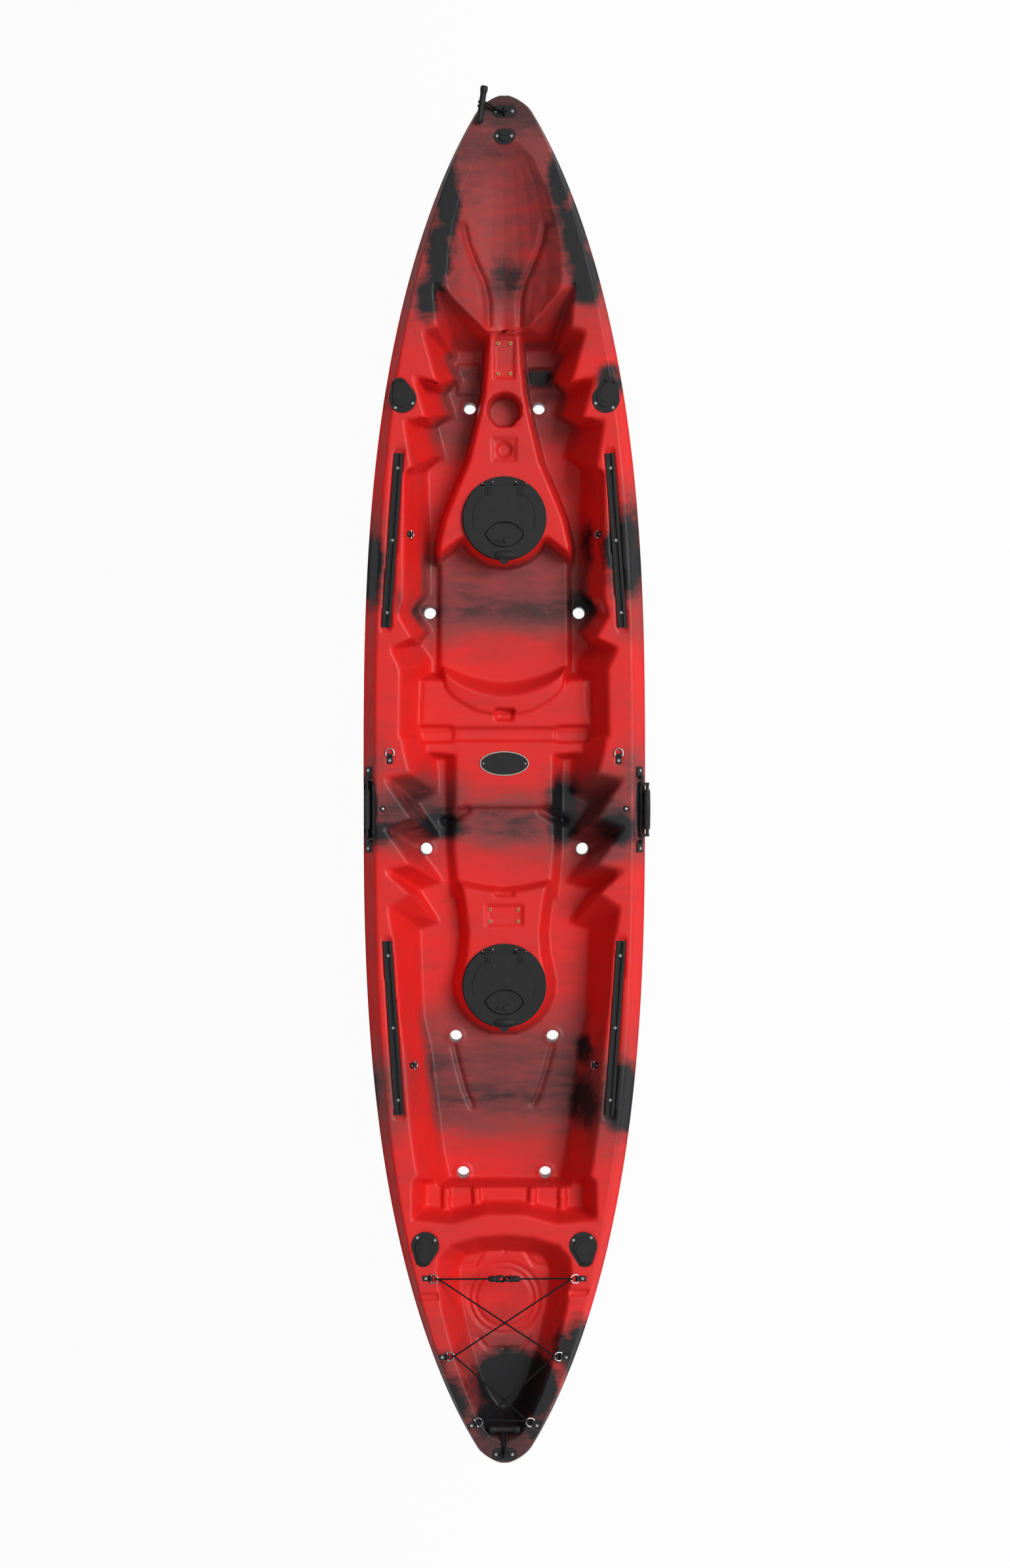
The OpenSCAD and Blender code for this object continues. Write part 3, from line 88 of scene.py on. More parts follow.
def cord_tube(name, route, radius, sides=14):
    path = np.array(route, float) / MILLIMETRES
    step = np.diff(path, axis=0)
    along = np.concatenate([[0], np.cumsum(np.linalg.norm(step, axis=1))])
    heading = step / np.linalg.norm(step, axis=1)[:, None]
    tangent = np.vstack([heading[:1], heading[:-1] + heading[1:], heading[-1:]])
    tangent /= np.linalg.norm(tangent, axis=1)[:, None]
    across = np.cross(tangent[0], OFF_ROUTE)
    rings = []
    for point, t, wide in zip(path, tangent, np.broadcast_to(radius, len(path))):
        across = across - t * across.dot(t)
        across /= np.linalg.norm(across)
        other = np.cross(t, across)
        turn = np.linspace(0, 2 * np.pi, sides, endpoint=False)[:, None]
        rings.append(point + wide * (np.cos(turn) * across + np.sin(turn) * other))
    faces = []
    for i in range(len(path) - 1):
        for j in range(sides):
            k = (j + 1) % sides
            faces.append([i * sides + j, i * sides + k, (i + 1) * sides + k, (i + 1) * sides + j])
    faces.append(list(range(sides))[::-1])
    faces.append([(len(path) - 1) * sides + j for j in range(sides)])
    mesh = bpy.data.meshes.new(name)
    mesh.from_pydata(np.vstack(rings).tolist(), [], faces)
    uv = mesh.uv_layers.new(name="braid")
    for face in mesh.polygons:
        for corner, vertex in zip(face.loop_indices, face.vertices):
            u = (vertex % sides) / sides
            if u == 0 and any(v % sides == sides - 1 for v in face.vertices):
                u = 1.0
            uv.data[corner].uv = (u, along[vertex // sides])
    cord = bpy.data.objects.new(name, mesh)
    bpy.context.collection.objects.link(cord)
    mesh.shade_smooth()
    print(name, "length", round(float(along[-1]), 4))
    return cord, path.tolist(), float(along[-1])


# %% Shock cord over the stern well
SHOCK_CORD = [
    [-28.0, -1448.5, 320.4], [-44.0, -1448.5, 320.4], [-50.0, -1448.5, 320.5],
    [-193.7, -1448.5, 325.4], [-197.1, -1448.5, 323.2], [-198.6, -1448.5, 319.4],
    [-197.1, -1448.5, 316.1], [-193.7, -1448.5, 315.4], [146.0, -1670.7, 326.5],
    [149.4, -1671.2, 327.3], [150.9, -1671.4, 330.5], [149.4, -1671.2, 334.3],
    [146.0, -1670.7, 336.5], [-64.7, -1855.3, 347.2], [-67.8, -1856.9, 345.0],
    [-69.0, -1857.6, 341.2], [-67.8, -1856.9, 338.0], [-64.7, -1855.3, 337.2],
    [64.7, -1855.3, 347.2], [67.8, -1856.9, 345.0], [69.0, -1857.6, 341.2],
    [67.8, -1856.9, 338.0], [64.7, -1855.3, 337.2], [-146.0, -1670.7, 326.5],
    [-149.4, -1671.2, 327.3], [-150.9, -1671.4, 330.5], [-149.4, -1671.2, 334.3],
    [-146.0, -1670.7, 336.5], [193.7, -1448.5, 325.4], [197.1, -1448.5, 323.2],
    [198.6, -1448.5, 319.4], [197.1, -1448.5, 316.1], [193.7, -1448.5, 315.4],
    [50.0, -1448.5, 320.3], [44.0, -1448.5, 320.4], [28.0, -1448.5, 320.4],
]
SHOCK_RADIUS = 0.0025
shock_cord, route, length = cord_tube("shock_cord", SHOCK_CORD, SHOCK_RADIUS)
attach(shock_cord, "hull")
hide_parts("bungee_cord")

# %% Cords of the carry toggles
BOW_CORD = [
    [-73.3, 1945.9, 383.3], [-70.5, 1945.5, 383.3], [-65.9, 1944.8, 383.2], [-59.4, 1943.9, 383.1],
    [-52.0, 1942.7, 383.0], [-45.0, 1941.1, 382.5], [-38.0, 1939.2, 381.7], [-30.8, 1937.1, 380.8],
    [-24.0, 1935.0, 379.7], [-18.4, 1933.6, 378.4], [-13.0, 1932.7, 377.2], [-6.1, 1932.4, 376.5],
    [0.0, 1932.4, 376.4], [3.2, 1932.3, 377.0], [5.0, 1932.2, 378.4], [6.5, 1931.9, 380.7],
    [7.0, 1931.6, 383.4], [6.5, 1931.4, 386.1], [5.0, 1931.1, 388.3], [3.2, 1930.9, 389.8],
    [0.0, 1930.9, 390.4], [-6.3, 1931.1, 390.1], [-14.0, 1932.4, 389.3], [-21.6, 1936.2, 388.0],
    [-30.0, 1941.4, 386.5], [-40.3, 1948.4, 385.2], [-50.3, 1954.6, 384.2], [-58.0, 1956.3, 384.1],
    [-64.1, 1956.6, 384.4], [-68.7, 1957.2, 384.5], [-71.5, 1957.7, 384.5],
]
STERN_CORD = [
    [-6.0, -1874.8, 333.6], [-6.0, -1881.0, 334.0], [-6.0, -1888.1, 334.5], [-6.1, -1891.6, 334.6],
    [-6.0, -1896.1, 335.3], [-5.6, -1906.3, 338.0], [-5.0, -1917.8, 340.8], [-4.1, -1926.9, 342.1],
    [-3.0, -1935.6, 343.0], [-1.4, -1945.4, 343.8], [0.0, -1953.6, 344.6], [0.2, -1957.0, 345.5],
    [0.0, -1958.4, 347.0], [0.0, -1959.8, 349.4], [0.0, -1960.2, 352.1], [0.0, -1959.4, 354.7],
    [0.0, -1957.8, 356.9], [-0.2, -1956.2, 358.3], [0.0, -1952.7, 358.6], [1.4, -1944.4, 357.1],
    [3.0, -1934.9, 354.6], [4.1, -1926.8, 351.3], [5.0, -1919.3, 347.5], [5.6, -1912.2, 343.4],
    [6.0, -1905.8, 339.6], [6.1, -1900.6, 337.1], [6.0, -1896.1, 335.4], [6.0, -1892.3, 334.7],
    [6.0, -1888.1, 334.5], [6.0, -1881.0, 334.0], [6.0, -1874.8, 333.6],
]
GRAB_RADIUS = 0.003
KNOT_LOOP = 0.0026
KNOT_STRAND = 0.0021
KNOT_TILTS = ((0.4, 0.2, 0), (1.7, 0.6, 0.8))


def tied_knot(name, place):
    bpy.ops.object.select_all(action="DESELECT")
    parts = []
    for tilt in KNOT_TILTS:
        bpy.ops.mesh.primitive_torus_add(major_radius=KNOT_LOOP, minor_radius=KNOT_STRAND, rotation=tilt,
                                         major_segments=20, minor_segments=10, location=place)
        parts.append(bpy.context.object)
    for part in parts:
        part.select_set(True)
    bpy.ops.object.join()
    bpy.ops.object.transform_apply(location=True, rotation=True, scale=True)
    bpy.ops.object.shade_smooth()
    knot = bpy.context.object
    knot.name = name
    return knot


grab_cords = []
for end, points in (("bow", BOW_CORD), ("stern", STERN_CORD)):
    cord, route, length = cord_tube(end + "_grab_cord", points, GRAB_RADIUS)
    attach(cord, end + "_grab")
    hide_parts(end + "_cord")
    knots = [tied_knot(f"{end}_knot_{i}", route[k]) for i, k in ((1, 0), (2, -1))]
    for knot in knots:
        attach(knot, end + "_grab")
    grab_cords += [cord] + knots

# %% [markdown]
# The hull is moulded in a heated tool, so every edge on it is round and every wall flows into
# the next. A hard-edged solid can't show that. Here a fine grid is laid over the boat like a
# sheet of soft plastic and dropped on to the solid with a Shrinkwrap modifier, once from
# above for the deck and once from below for the bottom. The two sheets are then sewn together
# along the sheer line, where the side turns into the gunwale.

# %% The boat's outline
HALF_LENGTH = 1.980
HALF_BEAM = 0.413
PLAN_SPARE = 0.05
PLAN_POWERS = (2.8, 0.79)
NOSE_LENGTH = 0.04
NOSE_HALF = 0.005
BOW_RISE = 0.095
STERN_RISE = 0.060
RISE_POWER = 2.2
BEVEL_DROP = 0.042
BEVEL_LEAST = 0.35
BEVEL_POWER = 1.2
KEEL_FLAT = 0.7
KEEL_BELOW = 0.085
KEEL_POWER = 4.5


def half_beam(y):
    reach = np.minimum(np.abs(y), HALF_LENGTH)
    plan = (1 - (reach / (HALF_LENGTH + PLAN_SPARE)) ** PLAN_POWERS[0]) ** PLAN_POWERS[1]
    into_nose = np.maximum(0, reach - (HALF_LENGTH - NOSE_LENGTH)) / NOSE_LENGTH
    nose = np.sqrt(np.maximum(0, 1 - into_nose ** 2))
    return np.maximum(NOSE_HALF, HALF_BEAM * plan * nose)


def end_rise(y):
    return np.where(y > 0, BOW_RISE, STERN_RISE)


def gunwale_height(y):
    return GUNWALE + end_rise(y) * (np.abs(y) / HALF_LENGTH) ** RISE_POWER


def sheer_height(y):
    band = (half_beam(y) / HALF_BEAM) ** BEVEL_POWER
    return gunwale_height(y) - BEVEL_DROP * (BEVEL_LEAST + (1 - BEVEL_LEAST) * band)


def keel_height(y):
    run = np.maximum(0, np.abs(y) - KEEL_FLAT) / (HALF_LENGTH - KEEL_FLAT)
    return (GUNWALE + end_rise(y) - KEEL_BELOW) * run ** KEEL_POWER


# %% Two sheets dropped on the solid
ROWS = 900
DECK_COLUMNS = 190
BOTTOM_COLUMNS = 110
CUP_PLACE = (0.0, 1.090)
CUP_RADIUS = 0.047
CUP_STEP = 0.0004
CUP_GATHER = 0.0045
hull_solid = frame["nodes"]["hull_shell"]


def read_points(obj):
    points = np.empty(len(obj.data.vertices) * 3, np.float32)
    obj.data.vertices.foreach_get("co", points)
    return points.reshape(-1, 3).astype(float)


def write_points(obj, points):
    obj.data.vertices.foreach_set("co", np.ascontiguousarray(points, np.float32).ravel())
    obj.data.update()


def activate(obj):
    bpy.ops.object.select_all(action="DESELECT")
    obj.select_set(True)
    bpy.context.view_layer.objects.active = obj


def gather_round_cup(x, y):
    away = np.hypot(x - CUP_PLACE[0], y - CUP_PLACE[1])
    rim = np.where(away < CUP_RADIUS, CUP_RADIUS - CUP_STEP, CUP_RADIUS + CUP_STEP)
    near = np.abs(away - CUP_RADIUS) < CUP_GATHER
    pull = np.where(near, rim / np.maximum(away, 1e-6), 1)
    return CUP_PLACE[0] + (x - CUP_PLACE[0]) * pull, CUP_PLACE[1] + (y - CUP_PLACE[1]) * pull


def dropped_sheet(name, columns, from_above):
    bpy.ops.object.select_all(action="DESELECT")
    bpy.ops.mesh.primitive_grid_add(x_subdivisions=columns, y_subdivisions=ROWS, size=2)
    sheet = bpy.context.object
    sheet.name = name
    flat = read_points(sheet)
    order = np.lexsort((np.round(flat[:, 0], 5), np.round(flat[:, 1], 5)))
    rows = len(np.unique(np.round(flat[:, 1], 5)))
    order = order.reshape(rows, -1)
    y = flat[:, 1] * HALF_LENGTH
    across = flat[:, 0] if from_above else np.sin(flat[:, 0] * np.pi / 2)
    x = across * half_beam(y)
    if from_above:
        x, y = gather_round_cup(x, y)
    write_points(sheet, np.column_stack([x, y, np.full(len(x), 1.0 if from_above else -1.0)]))
    drop = sheet.modifiers.new("drop", "SHRINKWRAP")
    drop.target = hull_solid
    drop.wrap_method = "PROJECT"
    drop.use_project_z = True
    drop.use_negative_direction = from_above
    drop.use_positive_direction = not from_above
    activate(sheet)
    bpy.ops.object.modifier_apply(modifier="drop")
    print(name, "points", len(sheet.data.vertices), "rows", rows)
    return sheet, order


deck, deck_order = dropped_sheet("hull", DECK_COLUMNS, True)
bottom, bottom_order = dropped_sheet("hull_bottom", BOTTOM_COLUMNS, False)

# %% [markdown]
# Where the solid has a hole, the sheet falls through. Screw holes are bridged by a closing:
# each height becomes the highest near it, and then the lowest of those, which fills narrow
# pits and leaves wide wells alone. Round holes that stay open get a flat rim first.

# %% Bridge the small holes
SCUPPERS = [(s * x, y) for x, y in ((0.103, 1.110), (0.222, 0.500), (0.232, -0.203), (0.144, -0.760),
                                    (0.122, -1.165)) for s in (-1, 1)]
SCUPPER_RADIUS = 0.018
DRAIN_HOLE = (0.0, 1.863, 0.013)
FRONT_HATCH_Y = 0.771
REAR_HATCH_Y = -0.605
HATCH_RADIUS = 0.094
ROD_PLACES = ((0.298, 1.118), (0.231, -1.362))
ROD_RADIUS = 0.0245
OPENINGS = [(x, y, SCUPPER_RADIUS) for x, y in SCUPPERS]
OPENINGS += [(0.0, FRONT_HATCH_Y, HATCH_RADIUS), (0.0, REAR_HATCH_Y, HATCH_RADIUS), DRAIN_HOLE]
OPENINGS += [(s * x, y, ROD_RADIUS) for x, y in ROD_PLACES for s in (-1, 1)]
INSERTS = [(s * 0.018, 1.242 + t * 0.0445) for s in (-1, 1) for t in (-1, 1)]
INSERTS += [(s * 0.041, -0.398 + t * 0.0175) for s in (-1, 1) for t in (-1, 1)]
INSERT_HOLE = 0.0055
RIM_BAND = (0.001, 0.009)
RIM_COVER = 0.003
FELL_THROUGH = 0.6


def neighbours(height, pick):
    padded = np.pad(height, 1, mode="edge")
    rows, columns = height.shape
    return pick([padded[i:i + rows, j:j + columns] for i in range(3) for j in range(3)], axis=0)


def flat_rim(points, holes):
    for x, y, radius in holes:
        away = np.hypot(points[..., 0] - x, points[..., 1] - y)
        ring = (away > radius + RIM_BAND[0]) & (away < radius + RIM_BAND[1])
        ring &= np.abs(points[..., 2]) < FELL_THROUGH
        if ring.any():
            level = np.median(points[..., 2][ring])
            points[..., 2][away < radius + RIM_COVER] = level


def set_edges(points, upper):
    for column in (0, -1):
        y = points[:, column, 1]
        points[:, column, 0] = (1 if column else -1) * half_beam(y)
        points[:, column, 2] = sheer_height(y)
    for row in (0, -1):
        y = np.full(points.shape[1], HALF_LENGTH if row else -HALF_LENGTH)
        share = np.clip(np.abs(points[row, :, 0]) / NOSE_HALF, 0, 1)
        top, low, sheer = gunwale_height(y), keel_height(y), sheer_height(y)
        upper_end = sheer + (top - sheer) * (1 - share ** 2)
        lower_end = sheer - (sheer - low) * np.sqrt(1 - share ** 2)
        points[row, :, 2] = upper_end if upper else lower_end


def bridge_rows(points):
    missed = np.abs(points[..., 2]) > FELL_THROUGH
    for row, gaps in zip(points, missed):
        if gaps.any():
            row[gaps, 2] = np.interp(row[gaps, 0], row[~gaps, 0], row[~gaps, 2])
    return int(missed.sum())


deck_points = read_points(deck)[deck_order]
set_edges(deck_points, True)
flat_rim(deck_points, OPENINGS + [(x, y, INSERT_HOLE) for x, y in INSERTS])
print("deck points bridged", bridge_rows(deck_points))
deck_points[..., 2] = neighbours(neighbours(deck_points[..., 2], np.max), np.min)

bottom_points = read_points(bottom)[bottom_order]
set_edges(bottom_points, False)
flat_rim(bottom_points, [(x, y, SCUPPER_RADIUS) for x, y in SCUPPERS])
print("bottom points bridged", bridge_rows(bottom_points))

# %% [markdown]
# The tool also presses fine lines into the plastic: two creases that lead the bow scoop into
# the console, runnels to the rear drains, a double ring in the stern well and a raised pad
# in each foot well. On a height grid each one is a soft valley or rise along a line, given by
# its half width and its depth.

# %% Pressed lines and pads
CREASES = [[(s * 0.118, 1.612), (s * 0.106, 1.562), (s * 0.084, 1.510), (s * 0.060, 1.462),
            (s * 0.048, 1.412), (s * 0.047, 1.336)] for s in (-1, 1)]
CREASE_PRESS = (0.009, 0.017)
RUNNELS = [[(-0.150, -0.785), (-0.136, -0.850), (-0.116, -0.920), (-0.096, -0.968)],
           [(0.144, -0.785), (0.128, -0.850), (0.106, -0.920), (0.086, -0.962)]]
RUNNEL_PRESS = (0.007, 0.010)
WELL_LINES = [[(s * 0.142, -1.431), (s * 0.086, -1.424), (s * 0.060, -1.384), (0, -1.384)] for s in (-1, 1)]
WELL_LINES += [[(s * 0.076, -1.640), (s * 0.050, -1.672), (0, -1.672)] for s in (-1, 1)]
WELL_CENTRE = (0.0, -1.523)
WELL_RINGS = (0.103, 0.085)
WELL_PRESS = (0.0045, 0.006)
HORNS = [[(s * 0.113, -0.088), (s * 0.140, -0.106), (s * 0.176, -0.120)] for s in (-1, 1)]
HORN_PRESS = (0.011, 0.022)
SCUPPER_LIP = 0.022
SCUPPER_LIP_HALF = 0.003
SCUPPER_PRESS = (0.003, -0.0025)
TOE_PADS = [(-0.142, -0.071, 1.148, 1.242, 0.007), (0.069, 0.140, 1.168, 1.229, 0.007)]
SUNK_PADS = [(-0.031, 0.031, 1.182, 1.302, -0.005), (-0.0545, 0.0545, -0.429, -0.367, -0.005),
             (-0.036, 0.036, 0.940, 1.008, -0.004)]
GUNWALE_NOTCHES = [(-0.250, -0.190, -1.512, -1.492, -0.008), (0.188, 0.246, -1.500, -1.480, -0.008)]
DIMPLE_Y = 0.974
DIMPLE_RADIUS = 0.024
DIMPLE_DEPTH = 0.006
SOFT_EDGE = 0.004


def away_from_line(points, line):
    best = np.full(points.shape[:2], np.inf)
    for a, b in zip(line, line[1:]):
        a, run = np.array(a), np.array(b) - np.array(a)
        t = np.clip(((points[..., :2] - a) @ run) / run.dot(run), 0, 1)
        best = np.minimum(best, np.linalg.norm(points[..., :2] - a - t[..., None] * run, axis=-1))
    return best


def press(away, width, depth):
    deck_points[..., 2] -= depth * np.exp(-((away / width) ** 2))


def press_lines(lines, width, depth):
    for line in lines:
        press(away_from_line(deck_points, line), width, depth)


def deck_distance(x, y):
    return np.hypot(deck_points[..., 0] - x, deck_points[..., 1] - y)


def share_inside(x0, x1, y0, y1):
    x, y = deck_points[..., 0], deck_points[..., 1]
    return np.clip(np.minimum.reduce([x - x0, x1 - x, y - y0, y1 - y]) / SOFT_EDGE, 0, 1)


unpressed = deck_points[..., 2].copy()
press_lines(CREASES, *CREASE_PRESS)
press_lines(RUNNELS, *RUNNEL_PRESS)
for radius in WELL_RINGS:
    press(np.abs(deck_distance(*WELL_CENTRE) - radius), *WELL_PRESS)
press_lines(WELL_LINES, *WELL_PRESS)
for *sides, rise in TOE_PADS + SUNK_PADS + GUNWALE_NOTCHES:
    deck_points[..., 2] += rise * share_inside(*sides)
for x, y in SCUPPERS:
    off_lip = np.abs(deck_distance(x, y) - SCUPPER_LIP) - SCUPPER_LIP_HALF
    press(np.maximum(0, off_lip), *SCUPPER_PRESS)
press_lines(HORNS, *HORN_PRESS)
dimple = np.clip((DIMPLE_RADIUS - deck_distance(0, DIMPLE_Y)) / DIMPLE_DEPTH, 0, 1)
deck_points[..., 2] -= DIMPLE_DEPTH * dimple
print("lines pressed", len(CREASES + RUNNELS + WELL_LINES) + len(WELL_RINGS))

# %% [markdown]
# Behind the front seat the plastic rises in a crescent roll that supports the back, and a flat
# groove with wider ends crosses the bridge behind it. A station of the roll gives its place
# across the boat, and then how far along the boat its foot, its crest and its back lie there.

# %% Roll behind the front seat and groove across the bridge
BRIDGE = 0.165
ROLL_RISE = 0.012
ROLL_FALL = 0.004
ROLL_STATIONS = [(0.000, 0.295, 0.244, 0.190), (0.030, 0.297, 0.246, 0.192), (0.080, 0.306, 0.258, 0.204),
                 (0.120, 0.318, 0.275, 0.225), (0.150, 0.328, 0.295, 0.246), (0.172, 0.334, 0.320, 0.272),
                 (0.184, 0.338, 0.334, 0.310)]
ROLL_NOTCH = (0.029, 0.207)
GROOVE_FLOOR = BRIDGE - 0.012
GROOVE_END_FLOOR = BRIDGE - 0.017
GROOVES = [(-0.157, 0.157, 0.115, 0.157, GROOVE_FLOOR), (-0.254, -0.157, 0.110, 0.163, GROOVE_END_FLOOR),
           (0.157, 0.254, 0.110, 0.163, GROOVE_END_FLOOR)]
PRESSED_LEAST = 0.003
wide, station = np.abs(deck_points[..., 0]), deck_points[..., 1]
half_widths, *lines = zip(*ROLL_STATIONS)
foot, crest, back = [np.interp(wide, half_widths, line) for line in lines]
climb = np.clip((foot - station) / (foot - crest), 0, 1)
climb = climb ** 2 * (3 - 2 * climb)
fall = np.clip((crest - station) / (crest - back), 0, 1)
level = BRIDGE + ROLL_RISE - ROLL_FALL * fall
share = np.clip((station - back) / SOFT_EDGE, 0, 1)
share *= np.clip((half_widths[-1] - wide) / SOFT_EDGE, 0, 1)
share[(wide < ROLL_NOTCH[0]) & (station < ROLL_NOTCH[1])] = 0
rise = np.maximum(0, level - deck_points[..., 2]) * climb * share
deck_points[..., 2] += rise
for *sides, level in GROOVES:
    spare = np.maximum(0, deck_points[..., 2] - level)
    deck_points[..., 2] -= spare * share_inside(*sides)
pressed_spots = deck_points[unpressed - deck_points[..., 2] > PRESSED_LEAST][:, :2]
print("roll rises", round(float(rise.max()), 3), "pressed points", len(pressed_spots))

# %% Sew the two sheets
SEAM = 0.0003


def edit_all(obj):
    activate(obj)
    bpy.ops.object.mode_set(mode="EDIT")
    bpy.ops.mesh.select_all(action="SELECT")


def put_back(obj, order, points):
    flat = np.empty((order.size, 3))
    flat[order.ravel()] = points.reshape(-1, 3)
    write_points(obj, flat)


put_back(deck, deck_order, deck_points)
put_back(bottom, bottom_order, bottom_points)
edit_all(bottom)
bpy.ops.mesh.flip_normals()
bpy.ops.object.mode_set(mode="OBJECT")
activate(deck)
bottom.select_set(True)
bpy.ops.object.join()
hull = bpy.context.object
edit_all(hull)
bpy.ops.mesh.remove_doubles(threshold=SEAM)
bpy.ops.mesh.fill_holes(sides=0)
bpy.ops.mesh.select_all(action="SELECT")
bpy.ops.mesh.vertices_smooth(factor=0.5, repeat=2)
bpy.ops.mesh.normals_make_consistent(inside=False)
bpy.ops.object.mode_set(mode="OBJECT")
print("sewn hull", len(hull.data.polygons), "faces")

# %% Open the drains and the hatches
DECK_LOWEST = 0.15
RIM_REACH = 0.012
RIM_INNER = 0.3


def select_faces(obj, chosen):
    bpy.context.tool_settings.mesh_select_mode = (False, False, True)
    activate(obj)
    bpy.ops.object.mode_set(mode="EDIT")
    bpy.ops.mesh.select_all(action="DESELECT")
    bpy.ops.object.mode_set(mode="OBJECT")
    obj.data.polygons.foreach_set("select", chosen)
    bpy.ops.object.mode_set(mode="EDIT")


def face_centres(obj):
    centres = np.empty(len(obj.data.polygons) * 3, np.float32)
    obj.data.polygons.foreach_get("center", centres)
    return centres.reshape(-1, 3)


centres = face_centres(hull)
doomed = np.zeros(len(centres), bool)
for x, y, radius in OPENINGS:
    through = radius == SCUPPER_RADIUS
    inside = np.hypot(centres[:, 0] - x, centres[:, 1] - y) < radius
    doomed |= inside & (through | (centres[:, 2] > DECK_LOWEST))
select_faces(hull, doomed)
bpy.ops.mesh.delete(type="FACE")
bpy.ops.object.mode_set(mode="OBJECT")

corner_edges = np.empty(len(hull.data.loops), np.int32)
hull.data.loops.foreach_get("edge_index", corner_edges)
edge_ends = np.empty(len(hull.data.edges) * 2, np.int32)
hull.data.edges.foreach_get("vertices", edge_ends)
rim_edges = np.bincount(corner_edges, minlength=len(hull.data.edges)) == 1
rim = np.unique(edge_ends.reshape(-1, 2)[rim_edges])
points = read_points(hull)
for x, y, radius in OPENINGS:
    away = np.hypot(points[rim, 0] - x, points[rim, 1] - y)
    near = rim[(away < radius + RIM_REACH) & (away > radius * RIM_INNER)]
    spread = radius / np.hypot(points[near, 0] - x, points[near, 1] - y)
    points[near, 0] = x + (points[near, 0] - x) * spread
    points[near, 1] = y + (points[near, 1] - y) * spread
write_points(hull, points)
print("openings cut", len(OPENINGS), "rim points", len(rim))

# %% [markdown]
# The smooth hull has more faces than it needs where it is nearly flat. A Decimate modifier
# joins those, so that the piece stays light enough to share. A vertex group keeps it away from
# the rims of the openings, which have to stay round. A small cost on long edges keeps the flat
# floors in medium triangles, because the colours are stored on their corners.

# %% Thin the flat parts
FACE_GOAL = 140000
LOOSE_WEIGHT = 0.5
LONG_EDGE_COST = 5e-6
points = read_points(hull)
off_rims = [np.hypot(points[:, 0] - x, points[:, 1] - y) - radius for x, y, radius in OPENINGS]
loose = hull.vertex_groups.new(name="loose")
loose.add(np.nonzero(np.min(off_rims, axis=0) > RIM_REACH)[0].tolist(), LOOSE_WEIGHT, "REPLACE")
triangles = sum(len(face.vertices) - 2 for face in hull.data.polygons)
thin = hull.modifiers.new("thin", "DECIMATE")
thin.ratio = min(1, FACE_GOAL / triangles)
thin.vertex_group = "loose"
thin.vertex_group_factor = LONG_EDGE_COST
activate(hull)
bpy.ops.object.modifier_apply(modifier="thin")
hull.vertex_groups.clear()
print("triangles", triangles, "thinned to", len(hull.data.polygons))

# %% [markdown]
# The hull is hollow, and its inside shows through an open hatch. The solid already has that
# inner wall and the drain tubes, so a copy of it gives them: the faces that look away from
# the new skin, and those of the tubes.

# %% Inner wall and drain tubes
MERGE = 0.00001
TUBE_REACH = SCUPPER_RADIUS + 0.001
LOOKS_AWAY = -0.2


def merged_copy(name, solid, flat=0):
    copy = bpy.data.objects.new(name, solid.data.copy())
    bpy.context.collection.objects.link(copy)
    edit_all(copy)
    bpy.ops.mesh.remove_doubles(threshold=MERGE)
    if flat:
        bpy.ops.mesh.dissolve_limited(angle_limit=flat)
    bpy.ops.object.mode_set(mode="OBJECT")
    return copy


inside = merged_copy("hull_inside", hull_solid)
skin = BVHTree.FromObject(hull, bpy.context.evaluated_depsgraph_get())
outer = []
for face in inside.data.polygons:
    normal = skin.find_nearest(face.center)[1]
    x, y = face.center.xy
    in_tube = any(math.hypot(x - a, y - b) < TUBE_REACH for a, b in SCUPPERS)
    outer.append(not in_tube and normal.dot(face.normal) > LOOKS_AWAY)
select_faces(inside, np.array(outer))
bpy.ops.mesh.delete(type="FACE")
bpy.ops.object.mode_set(mode="OBJECT")
print("inner faces kept", len(inside.data.polygons))

# %% [markdown]
# Some of the lines pressed into the deck are deeper than its wall, so the inner wall has to
# give way below them. Its large triangles are halved there, and every point that would stand
# above the deck is moved under it.

# %% Inner wall under the pressed lines
INNER_FACE = 0.013
INNER_LOWEST = 0.08
INNER_GAP = 0.004
INNER_REACH = 0.04
HALVINGS = 7
SKIN_ANGLE = math.radians(55)
pressed_map = KDTree(len(pressed_spots))
for i, (x, y) in enumerate(pressed_spots):
    pressed_map.insert((x, y, 0), i)
pressed_map.balance()


def even_normals(obj, angle):
    activate(obj)
    bpy.ops.object.shade_smooth_by_angle(angle=angle)
    even = obj.modifiers.new("even", "WEIGHTED_NORMAL")
    even.keep_sharp = True
    bpy.ops.object.modifier_apply(modifier="even")


def near_a_line(face):
    reach = max((inside.data.vertices[v].co - face.center).length for v in face.vertices)
    away = pressed_map.find((face.center.x, face.center.y, 0))[2]
    return reach > INNER_FACE and face.center.z > INNER_LOWEST and away < reach


for _ in range(HALVINGS):
    select_faces(inside, np.array([near_a_line(face) for face in inside.data.polygons]))
    bpy.ops.mesh.subdivide(number_cuts=1)
    bpy.ops.object.mode_set(mode="OBJECT")
points = read_points(inside)
moved = 0
for point in points:
    hit = skin.ray_cast(Vector((point[0], point[1], 1)), Vector((0, 0, -1)))[0]
    if hit and max(INNER_LOWEST, hit.z - INNER_GAP) < point[2] < hit.z + INNER_REACH:
        point[2] = hit.z - INNER_GAP
        moved += 1
write_points(inside, points)
print("inner faces", len(inside.data.polygons), "points moved", moved)
activate(hull)
inside.select_set(True)
bpy.ops.object.join()
hull.name = "hull_moulding"
even_normals(hull, SKIN_ANGLE)
hull.data.materials.clear()
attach(hull, "hull")
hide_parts("hull_shell")

